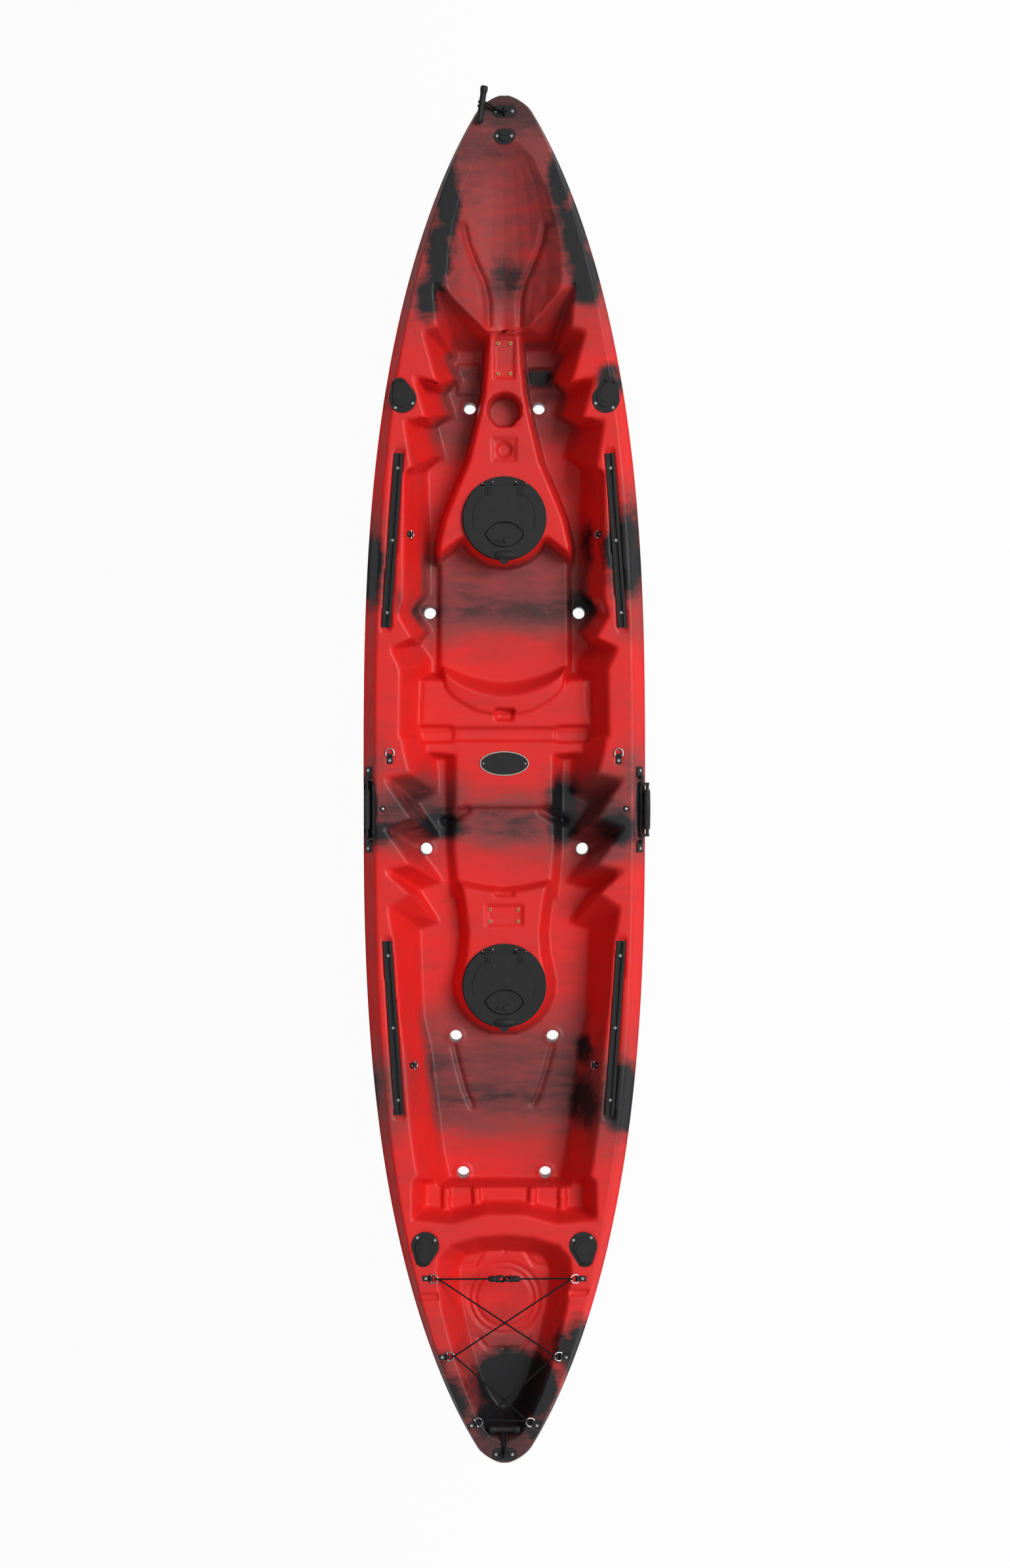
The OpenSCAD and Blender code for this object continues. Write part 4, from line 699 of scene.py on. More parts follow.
# %% [markdown]
# The swirl of the plastic isn't paint: red and black powder are poured into the tool in turns
# and melt together. Where they mix well the plastic is maroon, mostly at the ends, and where they
# don't it has black patches with streaky edges. The floors of the wells are made darker the lower
# they lie. On the bow scoop the maroon runs into greyed tones, a painted sheen, and one haze over
# the console is a painted shade. Both amounts are stored on each point of the mesh, by place, for
# the material to use.

# %% Amounts of maroon and black in the plastic, with a painted sheen and shade
# From 1.38 to 1.82 the amounts sit in the greyed middle of the colour ramp, a painted sheen on the bow
# scoop.
END_SMOKE_AND_SHEEN = [(-1.98, 1.1), (-1.90, 1.0), (-1.80, .70), (-1.66, .34), (-1.50, .12), (-1.30, .02),
             (1.18, .02), (1.28, .22), (1.38, .52), (1.50, .62), (1.70, .64), (1.82, .76),
             (1.90, .92), (1.98, 1.1)]
FLOOR_SMOKE = [(-1.30, .05), (-1.16, .08), (-1.06, .40), (-0.95, .90), (-0.84, .92), (-0.74, .62),
               (-0.62, .20), (-0.45, .08), (-0.26, .15), (-0.18, .62), (-0.10, .84), (-0.02, .50),
               (0.06, .10), (0.36, .06), (0.42, .36), (0.50, .98), (0.60, .72), (0.72, .44),
               (0.84, .12), (0.94, .24), (1.06, .66), (1.20, .66), (1.30, .50)]
FLOOR_LEVELS = (0.120, 0.172)
HAZE_SOFT = 0.6
BLOT_SOFT = 0.5
HAZES_AND_SHADE = [
    (0.0, -0.120, .230, .085, .80), (-0.385, -0.020, .060, .150, .55), (0.385, -0.040, .060, .160, .70),
    (0.0, -1.600, .060, .090, .35), (0.370, 0.640, .060, .170, .40), (-0.385, 0.640, .050, .170, .50),
    (0.350, -0.900, .070, .180, .40), (-0.370, -0.910, .050, .150, .45), (0.0, 1.300, .050, .100, .38),
    # The haze at (0.0, 1.100) darkens the console top: a painted shade.
    (0.0, 1.100, .070, .160, .26), (-0.250, -0.095, .170, .110, .95), (0.0, -1.720, .150, .100, .80),
    (0.270, -0.110, .170, .130, .95), (0.005, 1.470, .070, .080, 1.0), (-0.360, -0.920, .080, .130, .75),
    (0.300, -0.930, .120, .140, .80), (0.380, 0.640, .070, .200, .70), (0.0, 0.515, .200, .040, 1.0),
]
BLOTS = [
    (-0.160, 1.680, .034, .130, 1.0), (-0.190, 1.520, .036, .120, 1.0), (-0.222, 1.400, .034, .080, .9),
    (0.160, 1.720, .036, .120, 1.0), (0.205, 1.580, .042, .120, 1.0), (0.240, 1.460, .050, .090, 1.0),
    (0.011, 1.488, .060, .050, .50), (-0.262, 1.330, .018, .050, .5),
    (-0.099, 1.202, .032, .028, .6), (0.105, 1.202, .040, .034, 1.0), (0.310, 1.165, .044, .056, .9),
    (0.350, 0.670, .065, .130, 1.0), (0.250, 0.690, .024, .090, .65), (-0.395, -0.085, .024, .094, 1.4),
    (0.398, -0.085, .014, .090, 1.2),
    (0.222, 0.520, .045, .034, .8), (-0.385, 0.620, .036, .130, 1.0), (-0.310, 0.520, .018, .040, .55),
    (-0.080, 0.545, .110, .028, .5), (0.110, 0.500, .070, .020, .35), (-0.360, -0.150, .045, .070, .7),
    (-0.190, -0.130, .085, .045, .9), (0.172, -0.085, .050, .115, 1.0), (0.330, -0.135, .070, .060, .8),
    # The two blots at (-0.232, -0.205) and (0.232, -0.205) darken the middle drain holes and their rims.
    (-0.232, -0.205, .030, .026, .6), (0.232, -0.205, .030, .026, .6), (0.020, -0.105, .110, .030, .35),
    (0.345, -0.930, .060, .115, 1.0), (0.240, -0.800, .030, .055, .8), (0.235, -0.950, .045, .085, .85),
    (-0.375, -0.900, .022, .080, .6), (0.0, -0.945, .160, .030, .5), (0.218, -1.680, .050, .110, 1.0),
    (0.165, -1.640, .032, .060, .8), (-0.150, -1.800, .055, .070, .9), (0.015, -1.760, .100, .080, 1.4),
    (0.100, -1.770, .055, .085, 1.3), (-0.190, -1.700, .030, .065, .6), (0.0, -1.860, .080, .050, 1.2),
    (0.095, -1.880, .040, .050, .8),
]
points = read_points(hull)


def along_boat(table):
    stations, amounts = zip(*table)
    return np.interp(points[:, 1], stations, amounts)


def spread_out(spots, soft):
    amount_here = np.zeros(len(points))
    for x, y, wide, long, amount in spots:
        away = np.hypot((points[:, 0] - x) / wide, (points[:, 1] - y) / long)
        amount_here = np.maximum(amount_here, amount * np.clip((1 + soft - away) / (2 * soft), 0, 1))
    return amount_here


low = np.clip((FLOOR_LEVELS[1] - points[:, 2]) / (FLOOR_LEVELS[1] - FLOOR_LEVELS[0]), 0, 1)
smoke = np.maximum.reduce([along_boat(END_SMOKE_AND_SHEEN), low * along_boat(FLOOR_SMOKE),
                           spread_out(HAZES_AND_SHADE, HAZE_SOFT)])
for name, values in (("smoke", smoke), ("black", spread_out(BLOTS, BLOT_SOFT))):
    layer = hull.data.attributes.new(name, "FLOAT", "POINT")
    layer.data.foreach_set("value", values.astype(np.float32))
    print(name, "over one half on", int((values > 0.5).sum()), "points")


# %% A short way to add shader nodes
def shader_node(tree, kind, inputs=None, **settings):
    made = tree.nodes.new(kind)
    for key, value in settings.items():
        setattr(made, key, value)
    for key, value in (inputs or {}).items():
        if isinstance(value, bpy.types.NodeSocket):
            tree.links.new(value, made.inputs[key])
        else:
            made.inputs[key].default_value = value
    return made


def new_finish(name):
    finish = bpy.data.materials.new(name)
    finish.use_nodes = True
    tree = finish.node_tree
    shader = tree.nodes["Principled BSDF"]
    place = tree.nodes.new("ShaderNodeTexCoord").outputs["Object"]
    return finish, tree, shader, place


def noise(tree, place, scale, detail=3.0, rough=0.5, stretch=(1, 1, 1)):
    spread = shader_node(tree, "ShaderNodeMapping", {"Vector": place, "Scale": stretch})
    inputs = {"Vector": spread.outputs[0], "Scale": scale, "Detail": detail, "Roughness": rough}
    return shader_node(tree, "ShaderNodeTexNoise", inputs).outputs["Fac"]


def mixed_range(tree, value, low, high, start=0.3, end=0.7):
    inputs = {"Value": value, "From Min": start, "From Max": end, "To Min": low, "To Max": high}
    return shader_node(tree, "ShaderNodeMapRange", inputs).outputs[0]


def calculated(tree, operation, *values):
    return shader_node(tree, "ShaderNodeMath", dict(enumerate(values)), operation=operation).outputs[0]


def colour_ramp(tree, value, stops):
    ramp = shader_node(tree, "ShaderNodeValToRGB", {"Fac": value})
    while len(ramp.color_ramp.elements) < len(stops):
        ramp.color_ramp.elements.new(0.5)
    for element, (position, colour) in zip(ramp.color_ramp.elements, stops):
        element.position = position
        element.color = (*colour, 1)
    return ramp.outputs["Color"]


def bumped(tree, shader, height, strength, distance):
    inputs = {"Height": height, "Strength": strength, "Distance": distance}
    tree.links.new(shader_node(tree, "ShaderNodeBump", inputs).outputs[0], shader.inputs["Normal"])


def grained_finish(name, tint, dark, pale, gloss, relief, metallic=0.0):
    finish, tree, shader, place = new_finish(name)
    shader.inputs["Metallic"].default_value = metallic
    colour = colour_ramp(tree, noise(tree, place, *tint), [(0.3, dark), (0.7, pale)])
    tree.links.new(colour, shader.inputs["Base Color"])
    scale, detail, smoothest, roughest = gloss
    rough = mixed_range(tree, noise(tree, place, scale, detail), smoothest, roughest)
    tree.links.new(rough, shader.inputs["Roughness"])
    scale, detail, strength, distance = relief
    bumped(tree, shader, noise(tree, place, scale, detail), strength, distance)
    return finish


# %% Swirled red and black plastic
# The middle stops of this ramp are greyed maroon: a painted sheen, standing in for the sky's reflection on
# the bow scoop.
SMOKE_AND_SHEEN = [(0.00, (0.790, 0.017, 0.015)), (0.30, (0.600, 0.024, 0.023)), (0.62, (0.330, 0.043, 0.042)),
          (0.85, (0.185, 0.037, 0.039)), (1.00, (0.075, 0.024, 0.026))]
BLACK = (0.010, 0.010, 0.012, 1)
PATCH_EDGES = (0.30, 0.78)
ALONG_POUR = (0.32, 1, 1)
ALONG_BRUSH = (0.22, 1, 1)
CLOUD_SHAPE = (0.7, 0.8, 1)
ALONG_RUB = (1, 0.25, 1)
hull_plastic, tree, shader, place = new_finish("swirled_plastic")


def stored(name, *stirrings):
    amount = shader_node(tree, "ShaderNodeAttribute", attribute_name=name).outputs["Fac"]
    for pattern, reach in stirrings:
        amount = calculated(tree, "ADD", amount, mixed_range(tree, pattern, -reach, reach))
    return amount


streaks = noise(tree, place, 10, 8, 0.66, ALONG_POUR)
brush = noise(tree, place, 42, 6, 0.7, ALONG_BRUSH)
grain = noise(tree, place, 420, 2, 0.7)
clouds = noise(tree, place, 14, 8, 0.62, CLOUD_SHAPE)
smoke_and_sheen = colour_ramp(tree, stored("smoke", (streaks, 0.20), (brush, 0.10), (grain, 0.07)), SMOKE_AND_SHEEN)
patches = mixed_range(tree, stored("black", (clouds, 0.22), (brush, 0.12)), 0, 1, *PATCH_EDGES)
swirl = shader_node(tree, "ShaderNodeMixRGB", {"Fac": patches, "Color1": smoke_and_sheen, "Color2": BLACK})
tree.links.new(swirl.outputs[0], shader.inputs["Base Color"])
gloss = mixed_range(tree, noise(tree, place, 60, 4, 0.6, ALONG_RUB), 0.38, 0.52)
tree.links.new(gloss, shader.inputs["Roughness"])
shader.inputs["Specular IOR Level"].default_value = 0.34
bumped(tree, shader, noise(tree, place, 700, 3, 0.6), 0.12, 0.0006)
hull.data.materials.append(hull_plastic)
print("swirled plastic nodes", len(tree.nodes))

# %% [markdown]
# The fittings are moulded in black nylon, with a fine matt grain and a few pale scuffs. The
# seals and grips are rubber, the cords are braided, the rings and screws are stainless steel
# and the threaded inserts brass. Each finish is built once and shared by its pieces.

# %% Black nylon and rubber
NYLON = [(0.0, (0.008, 0.008, 0.009)), (0.7, (0.012, 0.012, 0.013)), (1.0, (0.030, 0.030, 0.032))]
black_plastic, tree, shader, place = new_finish("black_nylon")
wear = mixed_range(tree, noise(tree, place, 45, 6, 0.7), 0, 1, 0.42, 0.75)
tree.links.new(colour_ramp(tree, wear, NYLON), shader.inputs["Base Color"])
tree.links.new(mixed_range(tree, noise(tree, place, 90, 3), 0.46, 0.62), shader.inputs["Roughness"])
shader.inputs["Specular IOR Level"].default_value = 0.35
bumped(tree, shader, noise(tree, place, 1500, 2, 0.6), 0.18, 0.0003)

black_rubber = grained_finish("black_rubber", tint=(70, 4), dark=(0.016, 0.016, 0.016),
                              pale=(0.034, 0.033, 0.033), gloss=(200, 3, 0.70, 0.88),
                              relief=(2200, 2, 0.25, 0.0003))

# %% Braid of the cords
STRANDS = 8
BRAID_PITCH = 0.014
BRAID = [(0.0, (0.003, 0.003, 0.004)), (0.6, (0.010, 0.010, 0.011)), (1.0, (0.024, 0.024, 0.026))]
black_cord, tree, shader, place = new_finish("braided_cord")
along_cord = shader_node(tree, "ShaderNodeUVMap", uv_map="braid").outputs["UV"]
parts = shader_node(tree, "ShaderNodeSeparateXYZ", {0: along_cord})
run = calculated(tree, "MULTIPLY", parts.outputs[1], 1 / BRAID_PITCH)
waves = []
for way in ("ADD", "SUBTRACT"):
    lean = calculated(tree, way, parts.outputs[0], run)
    phase = calculated(tree, "MULTIPLY", lean, 2 * math.pi * STRANDS)
    waves.append(calculated(tree, "SINE", phase))
braid = calculated(tree, "MULTIPLY", *waves)
strand_colour = colour_ramp(tree, mixed_range(tree, braid, 0, 1, -1, 1), BRAID)
tree.links.new(strand_colour, shader.inputs["Base Color"])
shader.inputs["Roughness"].default_value = 0.8
shader.inputs["Specular IOR Level"].default_value = 0.2
bumped(tree, shader, braid, 0.6, 0.0004)
for piece in [shock_cord] + grab_cords:
    piece.data.materials.append(black_cord)

# %% Stainless steel and brass
stainless = grained_finish("stainless_steel", tint=(300, 4), dark=(0.50, 0.50, 0.50),
                           pale=(0.70, 0.70, 0.69), gloss=(500, 3, 0.18, 0.36),
                           relief=(1800, 2, 0.08, 0.0002), metallic=1.0)
brass = grained_finish("brass", tint=(400, 4), dark=(0.52, 0.34, 0.13), pale=(0.82, 0.60, 0.28),
                       gloss=(600, 3, 0.25, 0.45), relief=(2000, 2, 0.1, 0.0002), metallic=1.0)
FINISHES = {"hull_plastic": hull_plastic, "black_plastic": black_plastic, "black_rubber": black_rubber,
            "black_cord": black_cord, "stainless": stainless, "brass": brass}
print("finishes", len(FINISHES))

# %% [markdown]
# A moulded fitting never has a knife edge. The solids of the fittings are right in shape, so
# each is copied, its loose triangles are merged into whole faces, and a Bevel modifier breaks
# its edges by a fraction of a millimetre, which gives them their thin lines of light.

# %% Fittings with broken edges
EDGE_BREAK = {"black_plastic": 0.0007, "stainless": 0.0003, "black_rubber": 0.0005, "brass": 0.0003}
SAME_PLANE = math.radians(1)
EDGE_ANGLE = math.radians(38)
FITTING_ANGLE = math.radians(50)
slot_of = {part["node"]: part["material_slot"] for part in frame["record"]["subparts"]}
body_of = {node: body for body, nodes in frame["record"]["behaviour"]["bodies"].items() for node in nodes}
MODELLED = ["hull_shell", "bungee_cord", "bow_cord", "stern_cord", "bungee_hook", "bungee_eye",
            "handle_grip_r", "handle_grip_l"]


def finished(piece, slot):
    piece.data.materials.clear()
    piece.data.materials.append(FINISHES[slot])


def stand_for(piece, node):
    finished(piece, slot_of[node])
    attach(piece, body_of[node])
    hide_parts(node)
    return piece


def bevel_edges(obj, width, segments, angle):
    activate(obj)
    edge = obj.modifiers.new("edge", "BEVEL")
    edge.width = width
    edge.segments = segments
    edge.limit_method = "ANGLE"
    edge.angle_limit = angle
    bpy.ops.object.modifier_apply(modifier="edge")


def broken_edges(node):
    piece = merged_copy(node + "_piece", frame["nodes"][node], SAME_PLANE)
    bevel_edges(piece, EDGE_BREAK[slot_of[node]], 2, EDGE_ANGLE)
    even_normals(piece, FITTING_ANGLE)
    return stand_for(piece, node)


pieces = {node: broken_edges(node) for node in slot_of if node not in MODELLED}
print("fittings finished", len(pieces))

# %% [markdown]
# Each round lid has small forms that the solids leave out: a raised ring, a thumb lip at its
# front edge, ribs below the hinge knuckles, bright rivets and a slotted knob on the latch. They
# are modelled once, with the hatch's centre as their origin, and copied to both hatches.

# %% Trim of the hatch lids
LID_TOP = 0.0155
HATCHES = {"front": (0.0, FRONT_HATCH_Y, 0.205), "rear": (0.0, REAR_HATCH_Y, 0.188)}
SOFT_ANGLE = math.radians(30)
TRIM_ANGLE = math.radians(45)
HEAD_ANGLE = math.radians(40)
HEAD_BELOW = 0.2


def rounded(obj, width, segments=3):
    bevel_edges(obj, width, segments, SOFT_ANGLE)
    bpy.ops.object.shade_smooth_by_angle(angle=TRIM_ANGLE)
    return obj


def settled(obj):
    activate(obj)
    bpy.ops.object.transform_apply(location=True, rotation=True, scale=True)
    return obj


def joined(name, parts):
    bpy.ops.object.select_all(action="DESELECT")
    for part in parts:
        part.select_set(True)
    bpy.context.view_layer.objects.active = parts[0]
    bpy.ops.object.join()
    parts[0].name = name
    return parts[0]


def small_block(x, y, z, wide, long, high, soft):
    bpy.ops.mesh.primitive_cube_add(size=1, location=(x, y, z))
    bpy.context.object.scale = (wide, long, high)
    return rounded(settled(bpy.context.object), soft)


def dome_head(x, y, z, radius, high):
    bpy.ops.mesh.primitive_uv_sphere_add(segments=20, ring_count=10, radius=1, location=(x, y, z))
    bpy.context.object.scale = (radius, radius, high)
    head = settled(bpy.context.object)
    edit_all(head)
    bpy.ops.mesh.bisect(plane_co=(x, y, z - high * HEAD_BELOW), plane_no=(0, 0, 1), use_fill=True,
                        clear_inner=True)
    bpy.ops.object.mode_set(mode="OBJECT")
    bpy.ops.object.shade_smooth_by_angle(angle=HEAD_ANGLE)
    return head


# %% Ring, ribs and lip of a lid
RING_RADIUS = 0.092
RING_WIRE = 0.0022
RING_HEIGHT = LID_TOP - 0.0008
RING_FOOT = LID_TOP - 0.001
RING_ENDS = (-0.030, 0.066)
RIB_PLACE = (0.048, 0.079, LID_TOP + 0.0008)
RIB_PITCH = 0.0062
RIB_SIZE = (0.0032, 0.026, 0.0032)
RIB_SOFT = 0.0008
LIP_PLACE = (0, -0.108, LID_TOP - 0.001)
LIP_RADIUS = 0.034
LIP_HEIGHT = 0.0055
LIP_FLAT = 0.36


def lid_trim():
    bpy.ops.object.select_all(action="DESELECT")
    bpy.ops.mesh.primitive_torus_add(major_radius=RING_RADIUS, minor_radius=RING_WIRE, major_segments=96,
                                     minor_segments=10, location=(0, 0, RING_HEIGHT))
    ring = settled(bpy.context.object)
    start, end = RING_ENDS
    edit_all(ring)
    bpy.ops.mesh.bisect(plane_co=(0, 0, RING_FOOT), plane_no=(0, 0, 1), clear_inner=True)
    bpy.ops.mesh.select_all(action="SELECT")
    bpy.ops.mesh.bisect(plane_co=(0, start, 0), plane_no=(0, 1, 0), use_fill=True, clear_inner=True)
    bpy.ops.mesh.select_all(action="SELECT")
    bpy.ops.mesh.bisect(plane_co=(0, end, 0), plane_no=(0, 1, 0), use_fill=True, clear_outer=True)
    bpy.ops.object.mode_set(mode="OBJECT")
    bpy.ops.object.shade_smooth_by_angle(angle=TRIM_ANGLE)
    x, y, z = RIB_PLACE
    ribs = [small_block(s * x + k * RIB_PITCH, y, z, *RIB_SIZE, RIB_SOFT)
            for s in (-1, 1) for k in (-1, 0, 1)]
    lip = dome_head(*LIP_PLACE, LIP_RADIUS, LIP_HEIGHT)
    edit_all(lip)
    bpy.ops.transform.resize(value=(1, LIP_FLAT, 1), center_override=LIP_PLACE)
    bpy.ops.object.mode_set(mode="OBJECT")
    return joined("lid_trim", [ring, lip] + ribs)


# %% Knob and slot of a latch, rivets of a hinge
KNOB_RADIUS = 0.0075
KNOB_HEIGHT = 0.004
KNOB_PLACE = (0.004, -0.066, LID_TOP + 0.0015)
BLADE_PLACE = (-0.010, -0.0655, LID_TOP + 0.0008)
BLADE_SIZE = (0.030, 0.0055, 0.003)
KNOB_SOFT = 0.0009
SLOT_TURN = (212, 268)
SLOT_WIDE = 0.0341
SLOT_LONG = 0.028
SLOT_Y = -0.046
SLOT_END = 0.0003
SLOT_SWELL = 0.0016
SLOT_POINTS = 15
# A rivet's place, its radius and its rise
PLATE_RIVET = (0.034, 0.107, 0.0045, 0.0030, 0.0026)
HINGE_RIVET = (0.0645, 0.101, 0.0135, 0.0028, 0.0034)


def latch_knob():
    bpy.ops.mesh.primitive_cylinder_add(vertices=28, radius=KNOB_RADIUS, depth=KNOB_HEIGHT,
                                        location=KNOB_PLACE)
    knob = rounded(settled(bpy.context.object), KNOB_SOFT)
    blade = small_block(*BLADE_PLACE, *BLADE_SIZE, KNOB_SOFT)
    return joined("latch_knob", [knob, blade])


def latch_slot_shade():
    # The slot isn't cut: a dark matt rubber tube along its crescent stands in for its shade, a painted
    # shade.
    turn = np.radians(np.linspace(*SLOT_TURN, SLOT_POINTS))
    x, y = SLOT_WIDE * np.cos(turn), SLOT_Y + SLOT_LONG * np.sin(turn)
    route = np.column_stack([x, y, np.full(SLOT_POINTS, LID_TOP)])
    width = SLOT_END + SLOT_SWELL * np.sin(np.linspace(0.1, 2.6, SLOT_POINTS))
    return cord_tube("latch_slot_shade", route * MILLIMETRES, width, 10)[0]


def hinge_rivets():
    heads = [dome_head(s * x, *rest) for x, *rest in (PLATE_RIVET, HINGE_RIVET) for s in (-1, 1)]
    return joined("hinge_rivets", heads)


TRIMS = ((lid_trim(), "lid", "black_plastic"), (latch_knob(), "latch", "black_plastic"),
         (latch_slot_shade(), "latch", "black_rubber"), (hinge_rivets(), "hull", "stainless"))
for model, body, slot in TRIMS:
    for side, place in HATCHES.items():
        piece = model.copy()
        piece.data = model.data.copy()
        piece.name = f"{side}_{model.name}"
        bpy.context.collection.objects.link(piece)
        piece.location = place
        settled(piece)
        finished(piece, slot)
        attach(piece, body if body == "hull" else f"{side}_{body}")
    bpy.data.objects.remove(model)
print("lid trims placed", 2 * len(TRIMS))

# %% [markdown]
# The side handles have a curved rubber grip with fine ribs and two round bosses, and the two
# ends of the shock cord meet in a thick hook and an eye. Each of these takes the place of a
# plain solid. A grip takes its size from its solid's box, and the hook and the eye stand where
# the cord's two ends stop.

# %% Ribbed grips of the side handles
GRIP_POINTS = 121
GRIP_SWELL = (0.86, 0.10)
GRIP_RIBS = 22
GRIP_RIB_HEIGHT = 0.0007
GRIP_RIBBED = 0.9
GRIP_END = 0.06
GRIP_END_LEAST = 0.05
BOSS_PLACES = (-0.034, 0.034)
BOSS_HEIGHT = 0.80
BOSS_RING = 0.0052
BOSS_WIRE = 0.0012
BOSS_HEAD = (0.0042, 0.0012)


def ribbed_grip(side):
    node = f"handle_grip_{side}"
    low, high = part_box(node)
    middle = (low + high) / 2
    half = (high.y - low.y) / 2
    reach = min(high.x - low.x, high.z - low.z) / 2
    t = np.linspace(-1, 1, GRIP_POINTS)
    swell = reach * (GRIP_SWELL[0] - GRIP_SWELL[1] * t ** 2)
    ribs = GRIP_RIB_HEIGHT * np.cos(t * math.pi * GRIP_RIBS) * (np.abs(t) < GRIP_RIBBED)
    ends = np.sqrt(np.clip((1 - np.abs(t)) / GRIP_END, GRIP_END_LEAST, 1))
    route = np.tile(middle, (GRIP_POINTS, 1))
    route[:, 1] += half * t
    parts = [cord_tube(f"grip_{side}_body", route * MILLIMETRES, (swell + ribs) * ends, 24)[0]]
    for along in BOSS_PLACES:
        place = (middle.x, middle.y + along, middle.z + reach * BOSS_HEIGHT)
        bpy.ops.mesh.primitive_torus_add(major_radius=BOSS_RING, minor_radius=BOSS_WIRE, major_segments=28,
                                         minor_segments=8, location=place)
        bpy.ops.object.shade_smooth()
        parts.append(settled(bpy.context.object))
        parts.append(dome_head(*place, *BOSS_HEAD))
    return stand_for(joined(f"grip_{side}", parts), node)


grips = [ribbed_grip(side) for side in ("r", "l")]
print("grips made", len(grips))

# %% Hook and eye of the shock cord
HOOK_PLACE = (0.0, -1.4485, 0.3204)
HOOK_TILT = 0.5
EYE_TILT = 2.0
BARREL_AT = 0.032
BARREL_SIZE = (0.028, 0.017, 0.013)
BARREL_SOFT = 0.005
COLLAR_AT = 0.0195
COLLAR_SIZE = (0.008, 0.020, 0.015)
COLLAR_SOFT = 0.003
LOOP_AT = 0.0085
LOOP_RADIUS = 0.0092
LOOP_WIRE = 0.0036


def cord_end(node, side, tilt):
    x, y, z = HOOK_PLACE
    barrel = small_block(x + side * BARREL_AT, y, z, *BARREL_SIZE, BARREL_SOFT)
    collar = small_block(x + side * COLLAR_AT, y, z, *COLLAR_SIZE, COLLAR_SOFT)
    bpy.ops.mesh.primitive_torus_add(major_radius=LOOP_RADIUS, minor_radius=LOOP_WIRE, major_segments=36,
                                     minor_segments=12, rotation=(tilt, 0, 0),
                                     location=(x + side * LOOP_AT, y, z))
    bpy.ops.object.shade_smooth()
    return stand_for(joined(node + "_end", [barrel, collar, settled(bpy.context.object)]), node)


cord_ends = [cord_end("bungee_hook", -1, HOOK_TILT), cord_end("bungee_eye", 1, EYE_TILT)]
print("cord ends made", len(cord_ends))

# %% Bright centres of the gunwale buttons
BUTTON_PLACE = (0.355, -0.083)
STUD_RADIUS = 0.0046
STUD_HEIGHT = 0.0018
button_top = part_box("deck_buttons")[1].z
x, y = BUTTON_PLACE
heads = [dome_head(s * x, y, button_top, STUD_RADIUS, STUD_HEIGHT) for s in (-1, 1)]
studs = joined("button_studs", heads)
studs.data.materials.append(stainless)
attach(studs, "hull")
print("button studs", len(heads))

# %% [markdown]
# The oval plate is black with a pale raised border. Its face stays bare, with the fine grain of
# the other nylon pieces. The border is a flat oval, inset and thickened.

# %% Border of the oval plate
BORDER_MARGIN = 0.0016
BORDER_WIDTH = 0.0021
BORDER_RISE = 0.0009
BORDER_SOFT = 0.0003
plate_low, plate_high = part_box("oval_plate")
plate_centre = (plate_low + plate_high) / 2
plate_size = plate_high - plate_low
bpy.ops.object.select_all(action="DESELECT")
bpy.ops.mesh.primitive_circle_add(vertices=112, radius=0.5, fill_type="NGON",
                                  location=(plate_centre.x, plate_centre.y, plate_high.z))
plate_border = bpy.context.object
plate_border.name = "plate_border"
plate_border.scale = (plate_size.x - BORDER_MARGIN, plate_size.y - BORDER_MARGIN, 1)
settled(plate_border)
edit_all(plate_border)
bpy.ops.mesh.inset(thickness=BORDER_WIDTH)
bpy.ops.mesh.delete(type="FACE")
bpy.ops.object.mode_set(mode="OBJECT")
wall = plate_border.modifiers.new("wall", "SOLIDIFY")
wall.thickness = BORDER_RISE
wall.offset = 1
activate(plate_border)
bpy.ops.object.modifier_apply(modifier="wall")
rounded(plate_border, BORDER_SOFT, 2)
pale_edge = grained_finish("pale_edge", tint=(220, 4), dark=(0.62, 0.56, 0.47), pale=(0.80, 0.75, 0.66),
                           gloss=(300, 3, 0.35, 0.5), relief=(1500, 2, 0.1, 0.0002))
plate_border.data.materials.append(pale_edge)
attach(plate_border, "hull")
print("plate border", len(plate_border.data.polygons), "faces")
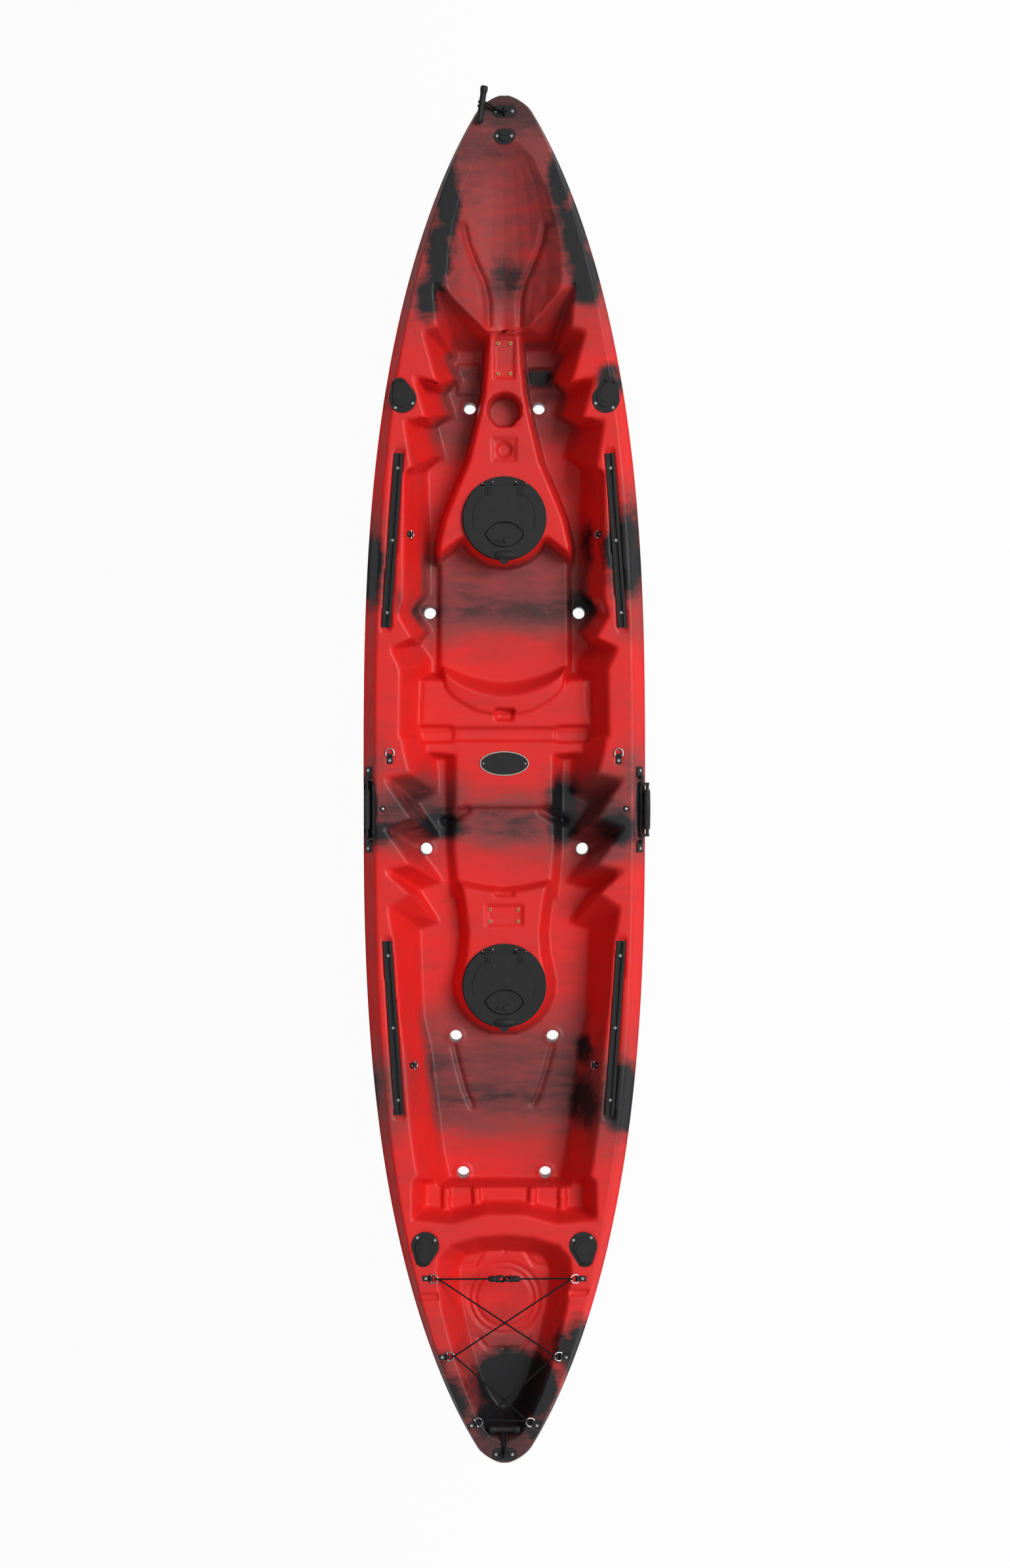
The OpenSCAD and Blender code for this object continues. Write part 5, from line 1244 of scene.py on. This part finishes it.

# %% [markdown]
# The boat lies on a plain white floor. The light comes from the right-hand side, so the right
# band of the hull is bright and the left one dark. The sky is brighter on that side, a wide sun
# stands there, and the floor's colour is painted darker on the left, a painted shade, so that it
# throws back less light there. The camera sees only white.

# %% White floor
FLOOR_SIZE = 40
FLOOR_BELOW = 0.0005
FLOOR_SHADE_GREYS = (0.10, 0.80)
FLOOR_SHADE_EDGES = (-1.0, 1.4)
WHITE = (1, 1, 1, 1)
WHITE_SHARE = 0.97
bpy.ops.object.select_all(action="DESELECT")
bpy.ops.mesh.primitive_plane_add(size=FLOOR_SIZE, location=(0, 0, -FLOOR_BELOW))
floor = bpy.context.object
floor.name = "floor"
floor_paint, tree, shader, place = new_finish("floor_paint")
shader.inputs["Roughness"].default_value = 0.9
shader.inputs["Specular IOR Level"].default_value = 0.0
sideways = shader_node(tree, "ShaderNodeSeparateXYZ", {0: place}).outputs[0]
# The floor's colour runs from dark on the left to pale on the right: a painted shade.
painted_floor_shade = mixed_range(tree, sideways, *FLOOR_SHADE_GREYS, *FLOOR_SHADE_EDGES)
tree.links.new(painted_floor_shade, shader.inputs["Base Color"])
white = shader_node(tree, "ShaderNodeEmission", {"Color": WHITE, "Strength": 1.0})
rays = shader_node(tree, "ShaderNodeLightPath")
seen = rays.outputs["Is Camera Ray"]
for kind in ("Is Glossy Ray", "Is Transmission Ray"):
    seen = calculated(tree, "MAXIMUM", seen, rays.outputs[kind])
share = calculated(tree, "MULTIPLY", seen, WHITE_SHARE)
blend = shader_node(tree, "ShaderNodeMixShader", {0: share, 1: shader.outputs[0], 2: white.outputs[0]})
tree.links.new(blend.outputs[0], tree.nodes["Material Output"].inputs["Surface"])
floor.data.materials.append(floor_paint)
print("floor", FLOOR_SIZE, "metres wide")

# %% Sky and sun
SKY_LEVELS = (0.16, 0.64)
SKY_EDGES = (-0.9, 0.9)
SUN_PLACE = (2.2, 0.9, 3.7)
SUN_STRENGTH = 1.9
SUN_SPREAD = math.radians(24)
world = bpy.data.worlds.new("studio")
bpy.context.scene.world = world
world.use_nodes = True
tree = world.node_tree
direction = tree.nodes.new("ShaderNodeTexCoord").outputs["Generated"]
sideways = shader_node(tree, "ShaderNodeSeparateXYZ", {0: direction}).outputs[0]
sky = mixed_range(tree, sideways, *SKY_LEVELS, *SKY_EDGES)
tree.links.new(sky, tree.nodes["Background"].inputs["Strength"])
tree.nodes["Background"].inputs["Color"].default_value = WHITE
bpy.ops.object.light_add(type="SUN", location=SUN_PLACE)
sun = bpy.context.object
sun.name = "sun"
sun.data.energy = SUN_STRENGTH
sun.data.angle = SUN_SPREAD
sun.rotation_euler = (-Vector(sun.location)).to_track_quat("-Z", "Y").to_euler()
bpy.context.scene.view_settings.view_transform = "Standard"
print("sun at", SUN_PLACE)
